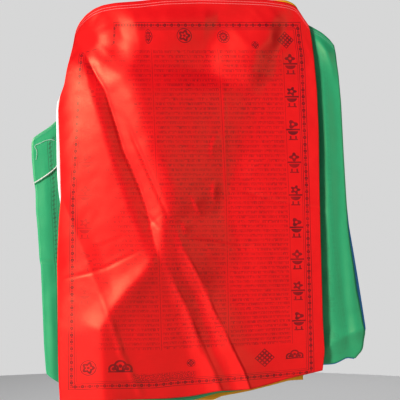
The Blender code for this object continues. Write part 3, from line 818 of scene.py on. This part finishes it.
def new_piece(name, points, faces, maps=()):
    """A mesh piece of points and faces, with its UV maps, riding on the one body."""
    mesh = bpy.data.meshes.new(name)
    mesh.from_pydata(np.asarray(points).reshape(-1, 3).tolist(), [], [list(face) for face in faces])
    corners = np.empty(len(mesh.loops), dtype=np.int32)
    mesh.loops.foreach_get("vertex_index", corners)
    for map_name, places in maps:
        layer = mesh.uv_layers.new(name=map_name)
        layer.data.foreach_set("uv", places.reshape(-1, 2)[corners].ravel())
    mesh.shade_smooth()
    piece = bpy.data.objects.new(name, mesh)
    bpy.context.scene.collection.objects.link(piece)
    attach(piece, "root")
    return piece


class Wire:
    """A number that changes over a surface. Sums on it become Math nodes in its node tree."""

    def __init__(self, tree, socket):
        self.tree = tree
        self.socket = socket

    def math(self, operation, *others, clamp=False):
        """The operation on this number and the others, by a Math node."""
        node = self.tree.nodes.new("ShaderNodeMath")
        node.operation = operation
        node.use_clamp = clamp
        for place, value in zip(node.inputs, (self, *others)):
            if isinstance(value, Wire):
                self.tree.links.new(value.socket, place)
            else:
                place.default_value = value
        return Wire(self.tree, node.outputs[0])

    def __add__(self, other):
        return self.math("ADD", other)

    def __sub__(self, other):
        return self.math("SUBTRACT", other)

    def __mul__(self, other):
        return self.math("MULTIPLY", other)

    def __truediv__(self, other):
        return self.math("DIVIDE", other)

    def __abs__(self):
        return self.math("ABSOLUTE")

    def __or__(self, other):
        return self.math("MAXIMUM", other)

    def floor(self):
        return self.math("FLOOR")

    def below(self, level, soft):
        """1 below the level and 0 above it, over a soft width."""
        return (self - level).math("MULTIPLY_ADD", -1.0 / soft, 0.5, clamp=True)

    def above(self, level, soft):
        """1 above the level and 0 below it, over a soft width."""
        return (self - level).math("MULTIPLY_ADD", 1.0 / soft, 0.5, clamp=True)

    def between(self, low, high, soft):
        """1 between two levels."""
        return self.above(low, soft) * self.below(high, soft)

    def noise(self, other, detail=0.0):
        """Smooth noise from 0 to 1 over the plane of two numbers."""
        join = self.tree.nodes.new("ShaderNodeCombineXYZ")
        self.tree.links.new(self.socket, join.inputs[0])
        self.tree.links.new(other.socket, join.inputs[1])
        node = self.tree.nodes.new("ShaderNodeTexNoise")
        node.noise_dimensions = "2D"
        node.inputs["Scale"].default_value = 1.0
        node.inputs["Detail"].default_value = detail
        self.tree.links.new(join.outputs[0], node.inputs["Vector"])
        return Wire(self.tree, node.outputs[0])


def length_of(a, b):
    """Distance from the origin of a place (a, b)."""
    return (a * a + b * b).math("SQRT")


def new_group(name, inputs, outputs):
    """An empty node group with named sockets, and its input and output nodes."""
    group = bpy.data.node_groups.new(name, "ShaderNodeTree")
    for socket_name, kind in inputs:
        group.interface.new_socket(socket_name, in_out="INPUT", socket_type=kind)
    for socket_name, kind in outputs:
        group.interface.new_socket(socket_name, in_out="OUTPUT", socket_type=kind)
    return group, group.nodes.new("NodeGroupInput"), group.nodes.new("NodeGroupOutput")


def place_in(group, entry):
    """The two numbers of the place that a group is given."""
    split = group.nodes.new("ShaderNodeSeparateXYZ")
    group.links.new(entry.outputs["Place"], split.inputs[0])
    return Wire(group, split.outputs[0]), Wire(group, split.outputs[1])


def bead_border(u, v):
    """A row of beads round the field between two fine rules. The ring is the distance outside the
    field's rectangle, and the run is the place along its nearer side."""
    outside_u = abs(u - FIELD[0] / 2) - FIELD[0] / 2
    outside_v = abs(v - FIELD[1] / 2) - FIELD[1] / 2
    ring = outside_u | outside_v
    upright = outside_u.math("GREATER_THAN", outside_v)
    run = (v - u) * upright + u
    step = run / BEAD_PITCH
    off = (step - step.floor() - 0.5) * BEAD_PITCH
    reach = length_of(ring, off)
    beads = reach.below(BEAD_RADIUS, EDGE_SOFT) * reach.above(BEAD_HOLE, EDGE_SOFT)
    ties = abs(abs(off) - BEAD_TIE[0]).below(BEAD_TIE[1], EDGE_SOFT)
    ties = ties * abs(ring).below(BEAD_TIE_REACH, EDGE_SOFT)
    rules = abs(abs(ring) - BEAD_RULE[0]).below(BEAD_RULE[1], EDGE_SOFT)
    inner = abs(ring + INNER_RULE[0]).below(INNER_RULE[1], EDGE_SOFT)
    return beads | ties | rules | inner


def text_rows(u, v):
    """Close rows of broken pen strokes, which stand for printed prose without any letter: a nearly
    whole head line in each row, with strokes of uneven length hung from it. Both come from noise,
    and are painted paler towards the left, where the key light's glare falls."""
    row = (v - TEXT_TOP) / TEXT_PITCH
    number = row.floor()
    within = row - number
    blots = (u / 0.0030).noise(number * 7.31 + within * 1.2)
    drops = (u / 0.0022).noise(number * 5.17 + within * 0.9 + 40.0)
    words = (u / 0.012).noise(number * 3.77 + 9.0)
    head = within.between(*TEXT_HEAD) * blots.above(0.36, 0.24) * 0.8
    strokes = within.between(*TEXT_STROKES) * drops.above(0.50, 0.16) * 0.7
    # Painted light: the ink is paled towards the left, standing in for the key light's glare there
    painted_glare = u.math("MULTIPLY_ADD", *TEXT_PAINTED_GLARE, clamp=True)
    written = (head | strokes) * words.math("MULTIPLY_ADD", 0.9, 0.15, clamp=True) * painted_glare
    columns = [u.between(low, high, 0.002) for low, high in TEXT_COLUMNS]
    height = v.between(TEXT_TOP, TEXT_BOTTOM, 0.001)
    zone = (columns[0] | columns[1] | columns[2]) * height
    uprights = (*DIVIDERS, TEXT_RULE)
    first, second, last = (abs(u - place).below(0.0005, EDGE_SOFT) for place in uprights)
    rules = (first | second | last) * height
    return written * zone | rules * 0.7


def lamp(a, b, number):
    """A small offering lamp: a flame or flower whose petals change with the number, over a bar, a
    bowl and two feet. The petals are a circle whose radius waves with the angle."""
    reach = length_of(a, b - 0.0120)
    angle = (b - 0.0120).math("ARCTAN2", a)
    petals = number.math("MODULO", 3.0) + 3.0
    edge = (angle * petals).math("COSINE") * 0.0022 + 0.0075
    top = (reach - edge).below(0.0, EDGE_SOFT) * reach.above(0.0028, EDGE_SOFT)
    bar = abs(a).below(0.0130, EDGE_SOFT) * abs(b - 0.0010).below(0.0016, EDGE_SOFT)
    bowl = length_of(a * 0.9, b + 0.0015).below(0.0088, EDGE_SOFT) * b.below(-0.0025, EDGE_SOFT)
    foot = abs(abs(a) - 0.0050).below(0.0014, EDGE_SOFT) * b.between(-0.0190, -0.0125, EDGE_SOFT)
    base = abs(a).below(0.0085, EDGE_SOFT) * abs(b + 0.0200).below(0.0010, EDGE_SOFT)
    return top | bar | bowl | foot | base


def rosette(a, b, petals, radius):
    """A round flower: a rim, a ring of petals that wave with the angle, and a heart."""
    reach = length_of(a, b) / radius
    wave = (b.math("ARCTAN2", a) * petals).math("COSINE")
    soft = EDGE_SOFT / radius
    rim = abs(reach - 0.93).below(0.05, soft)
    ring = (reach - wave * 0.12).between(0.36, 0.68, soft)
    heart = reach.below(0.17, soft)
    return rim | ring | heart


def knot(a, b, reach):
    """An endless knot: two sets of crossed bands inside a square that stands on its corner."""
    rising = a + b
    falling = a - b
    bands = abs((rising / reach * 2.0).math("FRACT") - 0.5).above(0.28, 0.10)
    bands = bands | abs((falling / reach * 2.0).math("FRACT") - 0.5).above(0.28, 0.10)
    return bands * (abs(rising) | abs(falling)).below(reach, EDGE_SOFT)


def cloud(a, b, radius):
    """A bank of three clouds over a level base: half rings side by side, the middle one highest."""
    middle = length_of(a, b - radius * 0.5)
    side = length_of(abs(a) - radius * 1.1, b)
    rings = abs(middle - radius * 0.9).below(radius * 0.16, EDGE_SOFT)
    rings = rings | abs(side - radius * 0.7).below(radius * 0.16, EDGE_SOFT)
    hearts = (middle.math("MINIMUM", side)).below(radius * 0.3, EDGE_SOFT)
    base = abs(b + radius * 0.5).below(radius * 0.1, EDGE_SOFT)
    base = base * abs(a).below(radius * 2, EDGE_SOFT)
    return (rings | hearts) * b.above(radius * -0.4, EDGE_SOFT) | base


def ornaments(u, v):
    """Lamps down both sides, and rosettes, knots, clouds and a stippled strip along the top and the
    bottom."""
    step = (v - MOTIF_START) / MOTIF_PITCH
    number = step.floor()
    up = (step - number - 0.5) * -MOTIF_PITCH
    rows = number.between(-0.5, MOTIF_COUNT - 0.5, 0.01)
    on_right = u.math("GREATER_THAN", FIELD[0] / 2)
    across = u - (on_right * (SIDE_MOTIFS[1] - SIDE_MOTIFS[0]) + SIDE_MOTIFS[0])
    lamps = lamp(across / LAMP_SIZE[0], up / LAMP_SIZE[1], number + on_right)
    marks = lamps * rows * (on_right * (1.0 - LEFT_LAMP_INK) + LEFT_LAMP_INK)
    for place_u, place_v, petals, radius in ROSETTES:
        marks = marks | rosette(u - place_u, v - place_v, petals, radius)
    for place_u, place_v, reach in KNOTS:
        marks = marks | knot(u - place_u, v - place_v, reach)
    for place_u, place_v, radius in CLOUDS:
        marks = marks | cloud(u - place_u, (v - place_v) * -1.0, radius)
    strip = u.between(*STIPPLE[0], 0.010) * v.between(*STIPPLE[1], 0.004)
    return marks | strip * (u / 0.0032).noise(v / 0.0026).above(0.50, 0.15) * 0.6


def print_group():
    """The printed layout, from places in the field in metres: a mask that is 1 where there is ink,
    uneven as a hand print is."""
    group, entry, leave = new_group(
        "Prayer print", [("Place", "NodeSocketVector")], [("Ink", "NodeSocketFloat")]
    )
    u, v = place_in(group, entry)
    marks = bead_border(u, v) | text_rows(u, v) | ornaments(u, v)
    wet = (u / 0.05).noise(v / 0.05, detail=3.0)
    ink = marks * wet.math("MULTIPLY_ADD", 0.9, 0.42, clamp=True)
    group.links.new(ink.socket, leave.inputs["Ink"])
    return group


def weave_group():
    """Plain woven cotton, from places on the cut in metres: a height of crossing threads with
    slubs, and a shade that varies with the slubs and the dye."""
    group, entry, leave = new_group(
        "Cotton weave",
        [("Place", "NodeSocketVector"), ("Thread pitch", "NodeSocketFloat")],
        [("Height", "NodeSocketFloat"), ("Shade", "NodeSocketFloat")],
    )
    u, v = place_in(group, entry)
    turn = Wire(group, entry.outputs["Thread pitch"]).math("POWER", -1.0) * (2 * np.pi)
    threads = (u * turn).math("SINE") * (v * turn).math("SINE")
    weft = (u / 0.030).noise(v / 0.0011)
    warp = (u / 0.0011).noise(v / 0.030)
    dye = (u / 0.12).noise(v / 0.12, detail=2.0)
    group.links.new((threads * 0.3 + weft * 0.5 + warp * 0.5).socket, leave.inputs["Height"])
    group.links.new(((weft + warp) * 0.5 + dye - 0.5).socket, leave.inputs["Shade"])
    return group


def heading_group():
    """Two rows of stitches along the heading, from places on the cut in metres."""
    group, entry, leave = new_group(
        "Heading stitches", [("Place", "NodeSocketVector")], [("Stitch", "NodeSocketFloat")]
    )
    u, v = place_in(group, entry)
    dash = abs((u / STITCH_PITCH).math("FRACT") - 0.5).below(0.38, 0.10)
    rows = abs(abs(v - STITCH_ROWS[0]) - STITCH_ROWS[1]).below(STITCH_WIDTH, STITCH_WIDTH)
    group.links.new((dash * rows).socket, leave.inputs["Stitch"])
    return group


def shared_group(name, make):
    """The node group of that name, made the first time that it is asked for."""
    return bpy.data.node_groups.get(name) or make()


class Finish:
    """A Principled material under way, with the few nodes that every finish here uses."""

    def __init__(self, name, roughness, sheen):
        self.made = bpy.data.materials.new(name)
        self.made.use_nodes = True
        self.nodes = self.made.node_tree.nodes
        self.links = self.made.node_tree.links
        self.shader = self.nodes["Principled BSDF"]
        self.shader.inputs["Roughness"].default_value = roughness
        self.shader.inputs["Sheen Weight"].default_value = sheen
        self.shader.inputs["Sheen Roughness"].default_value = 0.5
        self.shader.inputs["Specular IOR Level"].default_value = GLOSS
        self.shader.inputs["Specular Tint"].default_value = GLOSS_TINT

    def place(self, map_name):
        """Places on one of the piece's UV maps."""
        node = self.nodes.new("ShaderNodeUVMap")
        node.uv_map = map_name
        return node.outputs["UV"]

    def group(self, name, make, place, **values):
        """What a shared node group puts out at a place, with values of its own."""
        node = self.nodes.new("ShaderNodeGroup")
        node.node_tree = shared_group(name, make)
        self.links.new(place, node.inputs["Place"])
        for socket, value in values.items():
            node.inputs[socket.replace("_", " ")].default_value = value
        return node.outputs

    def mix(self, share, first, second):
        """First colour where the share is 0 and second where it is 1."""
        node = self.nodes.new("ShaderNodeMix")
        node.data_type = "RGBA"
        for number, value in ((0, share), (6, first), (7, second)):
            socket = node.inputs[number]
            if isinstance(value, (tuple, float)):
                socket.default_value = value
            else:
                self.links.new(value, socket)
        return node.outputs[2]

    def scaled(self, value, factor, base):
        """factor times the value, and base added, kept between 0 and 1."""
        node = self.nodes.new("ShaderNodeMath")
        node.operation = "MULTIPLY_ADD"
        node.use_clamp = True
        self.links.new(value, node.inputs[0])
        node.inputs[1].default_value = factor
        node.inputs[2].default_value = base
        return node.outputs[0]

    def raise_by(self, height, distance, strength):
        """Raises the surface by a height, as a bump."""
        node = self.nodes.new("ShaderNodeBump")
        node.inputs["Distance"].default_value = distance
        node.inputs["Strength"].default_value = strength
        self.links.new(height, node.inputs["Height"])
        self.links.new(node.outputs["Normal"], self.shader.inputs["Normal"])

    def colour(self, socket):
        """Gives the surface its colour."""
        self.links.new(socket, self.shader.inputs["Base Color"])


def lighter(colour, factor):
    """A colour times a factor, as four numbers."""
    return (*(min(1.0, channel * factor) for channel in colour), 1.0)


def cloth_finish(name, colour, settings, ink_strength):
    """Printed cotton: dye that varies a little with the slubs, the print over it, and pale
    stitches."""
    finish = Finish(name, CLOTH_ROUGHNESS, 0.0)
    cloth = finish.place("Cloth")
    weave = finish.group("Cotton weave", weave_group, cloth, Thread_pitch=settings.thread_pitch)
    ink = finish.group("Prayer print", print_group, finish.place("Print"))["Ink"]
    stitch = finish.group("Heading stitches", heading_group, cloth)["Stitch"]
    shade = finish.scaled(weave["Shade"], 0.8, 0.1)
    dyed = finish.mix(shade, lighter(colour, 0.93), lighter(colour, 1.07))
    printed = finish.mix(finish.scaled(ink, ink_strength, 0.0), dyed, (*settings.ink, 1.0))
    pale = tuple(0.45 + 0.5 * channel for channel in colour)
    finish.colour(finish.mix(finish.scaled(stitch, 0.75, 0.0), printed, (*pale, 1.0)))
    finish.raise_by(weave["Height"], 0.0002, 0.35)
    return finish.made


def string_finish(settings):
    """Twisted cotton: fibres that run with the strands, and a little grime."""
    finish = Finish("string_cotton", 0.9, 0.3)
    weave = finish.group("Cotton weave", weave_group, finish.place("Cloth"), Thread_pitch=0.0006)
    grimy, clean = (lighter(settings.colour, factor) for factor in (0.72, 1.12))
    finish.colour(finish.mix(weave["Shade"], grimy, clean))
    finish.raise_by(weave["Height"], 0.0002, 0.6)
    return finish.made


def tube(line, radii, sides, strands=0, lay=1.0):
    """A closed tube's points, faces and places: circles square to the line, each radius swelling
    strands times round, and the swellings turning once in each lay of the length."""
    run = np.concatenate(([0.0], np.cumsum(np.linalg.norm(np.diff(line, axis=0), axis=1))))
    ahead = np.gradient(line, axis=0)
    ahead /= np.linalg.norm(ahead, axis=1)[:, None]
    side = np.cross(ahead, (0.0, 1.0, 0.0))
    side /= np.linalg.norm(side, axis=1)[:, None]
    up = np.cross(ahead, side)
    angle = np.linspace(0.0, 2 * np.pi, sides, endpoint=False)
    swell = 1.0
    if strands:
        swell = 0.86 + 0.14 * np.abs(np.cos((angle - 2 * np.pi * run[:, None] / lay) * strands / 2))
    reach = (radii[:, None] * swell * np.ones_like(angle))[..., None]
    points = line[:, None] + reach * (
        np.cos(angle)[:, None] * side[:, None] + np.sin(angle)[:, None] * up[:, None]
    )
    count = len(line)
    index = np.arange(count * sides).reshape(count, sides)
    around = np.roll(index, -1, axis=1)
    faces = np.stack((index[:-1], around[:-1], around[1:], index[1:]), axis=-1).reshape(-1, 4)
    caps = [index[0, ::-1].tolist(), index[-1].tolist()]
    lengthwise = np.broadcast_to(run[:, None], index.shape)
    places = np.stack((lengthwise, np.broadcast_to(angle * 0.002, index.shape)), axis=-1)
    return points.reshape(-1, 3), [*faces.tolist(), *caps], places.reshape(-1, 2)


def join_tubes(tubes):
    """Several tubes as one set of points, faces and places."""
    points, faces, places, used = [], [], [], 0
    for tube_points, tube_faces, tube_places in tubes:
        points.append(tube_points)
        places.append(tube_places)
        faces += [[corner + used for corner in face] for face in tube_faces]
        used += len(tube_points)
    return np.vstack(points), faces, np.vstack(places)


class PRAYERFLAGS_OT_stage(bpy.types.Operator):
    """Sets the camera, the soft lights, the round pale floor and the pale surroundings"""

    bl_idname = "prayerflags.stage"
    bl_label = "Set the stage"

    def execute(self, context):
        scene = context.scene
        camera = bpy.data.objects.new("camera", bpy.data.cameras.new("camera"))
        camera.data.sensor_width = SENSOR
        camera.data.lens = LENS
        camera.location = (READ_MIDDLE[0], -READ_FROM, READ_MIDDLE[1])
        camera.rotation_euler = (np.pi / 2, 0.0, 0.0)
        scene.collection.objects.link(camera)
        scene.camera = camera
        for name, place, aim, width, watts in LIGHTS:
            lamp_data = bpy.data.lights.new(name, "AREA")
            lamp_data.size = width
            lamp_data.energy = watts
            light = bpy.data.objects.new(name, lamp_data)
            light.location = place
            toward = np.array(aim) - np.array(place)
            across = np.hypot(toward[0], toward[1])
            light.rotation_euler = (
                np.arctan2(across, -toward[2]), 0.0, np.arctan2(-toward[0], toward[1]),
            )
            scene.collection.objects.link(light)
        angle = np.linspace(0.0, 2 * np.pi, 96, endpoint=False)
        level = np.full_like(angle, FLOOR_LEVEL)
        floor_x, floor_y = FLOOR_RADIUS * np.cos(angle), FLOOR_RADIUS * np.sin(angle)
        rim = np.stack((floor_x, floor_y, level), axis=-1)
        mesh = bpy.data.meshes.new("floor")
        mesh.from_pydata(rim.tolist(), [], [list(range(len(rim)))])
        floor = bpy.data.objects.new("floor", mesh)
        scene.collection.objects.link(floor)
        paint = bpy.data.materials.new("floor_paint")
        paint.use_nodes = True
        shader = paint.node_tree.nodes["Principled BSDF"]
        shader.inputs["Base Color"].default_value = FLOOR_SHADE
        shader.inputs["Roughness"].default_value = 0.9
        mesh.materials.append(paint)
        world = bpy.data.worlds.new("pale_studio")
        world.use_nodes = True
        tree = world.node_tree
        shade = tree.nodes.new("ShaderNodeMix")
        shade.data_type = "RGBA"
        shade.inputs[6].default_value = SURROUNDINGS_LIGHT
        shade.inputs[7].default_value = SURROUNDINGS_SHOWN
        rays = tree.nodes.new("ShaderNodeLightPath")
        tree.links.new(rays.outputs["Is Camera Ray"], shade.inputs[0])
        tree.links.new(shade.outputs[2], tree.nodes["Background"].inputs["Color"])
        scene.world = world
        scene.view_settings.view_transform = "Standard"
        scene.view_settings.exposure = VIEW_EXPOSURE
        scene.view_settings.gamma = VIEW_GAMMA
        return {"FINISHED"}


class PRAYERFLAGS_OT_string_end(bpy.types.Operator):
    """Lays the loose end of the string, with its frayed tip"""

    bl_idname = "prayerflags.string_end"
    bl_label = "Lay the string's end"

    def execute(self, context):
        settings = context.scene.prayer_string
        knots = np.array(STRING_ROUTE, float) * MM
        length = np.linalg.norm(np.diff(knots, axis=0), axis=1).sum()
        shares = np.linspace(0.0, 1.0, 420)
        line = along(STRING_ROUTE, shares)
        radius = settings.diameter / 2
        left = (1.0 - shares) * length
        swelling, knot_place, knot_width = STRING_KNOT
        radii = radius * (1.0 + swelling * np.exp(-((left - knot_place) / knot_width) ** 2))
        radii *= STRING_THINNED + (1.0 - STRING_THINNED) * eased(left / STRING_THINNING)
        points, faces, places = tube(line, radii, 20, strands=3, lay=settings.lay)
        cotton = string_finish(settings)
        string = new_piece("string_end_cord", points, faces, [("Cloth", places)])
        string.data.materials.append(cotton)
        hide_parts("string_end")
        draws = np.random.default_rng(12)
        tip = line[-1]
        ahead = (line[-1] - line[-6]) / np.linalg.norm(line[-1] - line[-6])
        steps = np.linspace(0.0, 1.0, 9)[:, None]
        sag = np.array(FRAY_SAG)
        fibres = []
        for _ in range(FRAY_COUNT):
            spread = draws.uniform(-0.5, 0.5, 3) * FRAY_SPREAD
            reach = draws.uniform(*FRAY_REACH)
            path = tip - ahead * FRAY_START + steps * reach * (ahead + spread)
            path = path + steps**2 * reach * sag
            fibres.append(tube(path, np.linspace(*FRAY_RADII, 9), 6))
        points, faces, places = join_tubes(fibres)
        fray = new_piece("string_fray", points, faces, [("Cloth", places)])
        fray.data.materials.append(cotton)
        return {"FINISHED"}


class PRAYERFLAGS_OT_loose_thread(bpy.types.Operator):
    """Lays the loose thread on the left green flag"""

    bl_idname = "prayerflags.loose_thread"
    bl_label = "Lay the loose thread"

    def execute(self, context):
        settings = context.scene.prayer_string
        flag = FLAGS["left_green_flag"]
        seen = along(THREAD_ROUTE, np.linspace(0.0, 1.0, 60), ease=4 * MM)
        clear = context.scene.prayer_cloth.heading / 2 + settings.thread / 2 + THREAD_CLEAR
        depth = flag_depth(flag, seen[:, 0], seen[:, 1]) - clear
        line = as_hung(seen[:, 0], depth, seen[:, 1])
        radii = np.full(len(line), settings.thread / 2)
        points, faces, places = tube(line, radii, 8)
        thread = new_piece("loose_thread", points, faces, [("Cloth", places)])
        thread.data.materials.append(bpy.data.materials["string_cotton"])
        return {"FINISHED"}


class PRAYERFLAGS_OT_hang(bpy.types.Operator):
    """Hangs one printed flag, with its folds and its doubled, stitched heading"""

    bl_idname = "prayerflags.hang"
    bl_label = "Hang a flag"

    flag: EnumProperty(
        name="Flag",
        description="Which of the flags to hang",
        items=[(name, name.replace("_", " ").capitalize(), "") for name in FLAGS],
    )

    def execute(self, context):
        settings = context.scene.prayer_cloth
        flag = FLAGS[self.flag]
        points, cloth, field = flag_surface(flag)
        rows, columns = points.shape[:2]
        maps = [("Cloth", cloth), ("Print", field)]
        piece = new_piece(flag.name, points, grid_faces(rows, columns), maps)
        colour = tuple(getattr(settings, flag.slot))
        front = settings.ink_strength * flag.ink
        for side, strength in (("front", front), ("back", front * BACK_INK)):
            finish = cloth_finish(f"{flag.name}_{side}", colour, settings, strength)
            piece.data.materials.append(finish)
        doubled = (cloth[..., 1] <= HEADING_WIDTH * 1.02).ravel()
        layers = piece.vertex_groups.new(name="layers")
        single = settings.thickness / settings.heading
        for chosen, weight in ((doubled, 1.0), (~doubled, single)):
            layers.add(np.flatnonzero(chosen).tolist(), weight, "REPLACE")
        solid = piece.modifiers.new("Thickness", "SOLIDIFY")
        solid.thickness = settings.heading
        solid.offset = 0.0
        solid.vertex_group = layers.name
        solid.material_offset = 1
        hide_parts(flag.node)
        names = list(FLAGS)
        behind = names[names.index(flag.name) + 1:][:1]
        return {"FINISHED"}


class PRAYERFLAGS_PT_panel(bpy.types.Panel):
    """Lists the pieces and their sizes"""

    bl_idname = "PRAYERFLAGS_PT_panel"
    bl_label = "Prayer Flags"
    bl_space_type = "VIEW_3D"
    bl_region_type = "UI"
    bl_category = "Prayer Flags"

    def draw(self, context):
        layout = self.layout
        for settings in (context.scene.prayer_cloth, context.scene.prayer_string):
            for name in settings.bl_rna.properties.keys():
                if name not in ("rna_type", "name"):
                    layout.prop(settings, name)
        layout.operator("prayerflags.stage")
        layout.operator("prayerflags.string_end")
        layout.operator("prayerflags.loose_thread")
        for name in FLAGS:
            text = "Hang the " + name.replace("_", " ")
            layout.operator("prayerflags.hang", text=text).flag = name


CLASSES = (
    PRAYERFLAGS_PG_cloth,
    PRAYERFLAGS_PG_string,
    PRAYERFLAGS_OT_stage,
    PRAYERFLAGS_OT_string_end,
    PRAYERFLAGS_OT_loose_thread,
    PRAYERFLAGS_OT_hang,
    PRAYERFLAGS_PT_panel,
)


def register():
    for made in CLASSES:
        bpy.utils.register_class(made)
    bpy.types.Scene.prayer_cloth = PointerProperty(type=PRAYERFLAGS_PG_cloth)
    bpy.types.Scene.prayer_string = PointerProperty(type=PRAYERFLAGS_PG_string)


def unregister():
    del bpy.types.Scene.prayer_cloth
    del bpy.types.Scene.prayer_string
    for made in reversed(CLASSES):
        bpy.utils.unregister_class(made)


def main():
    register()
    bpy.ops.prayerflags.stage()
    bpy.ops.prayerflags.string_end()
    bpy.ops.prayerflags.loose_thread()
    for name in FLAGS:
        bpy.ops.prayerflags.hang(flag=name)


if __name__ == "__main__":
    main()
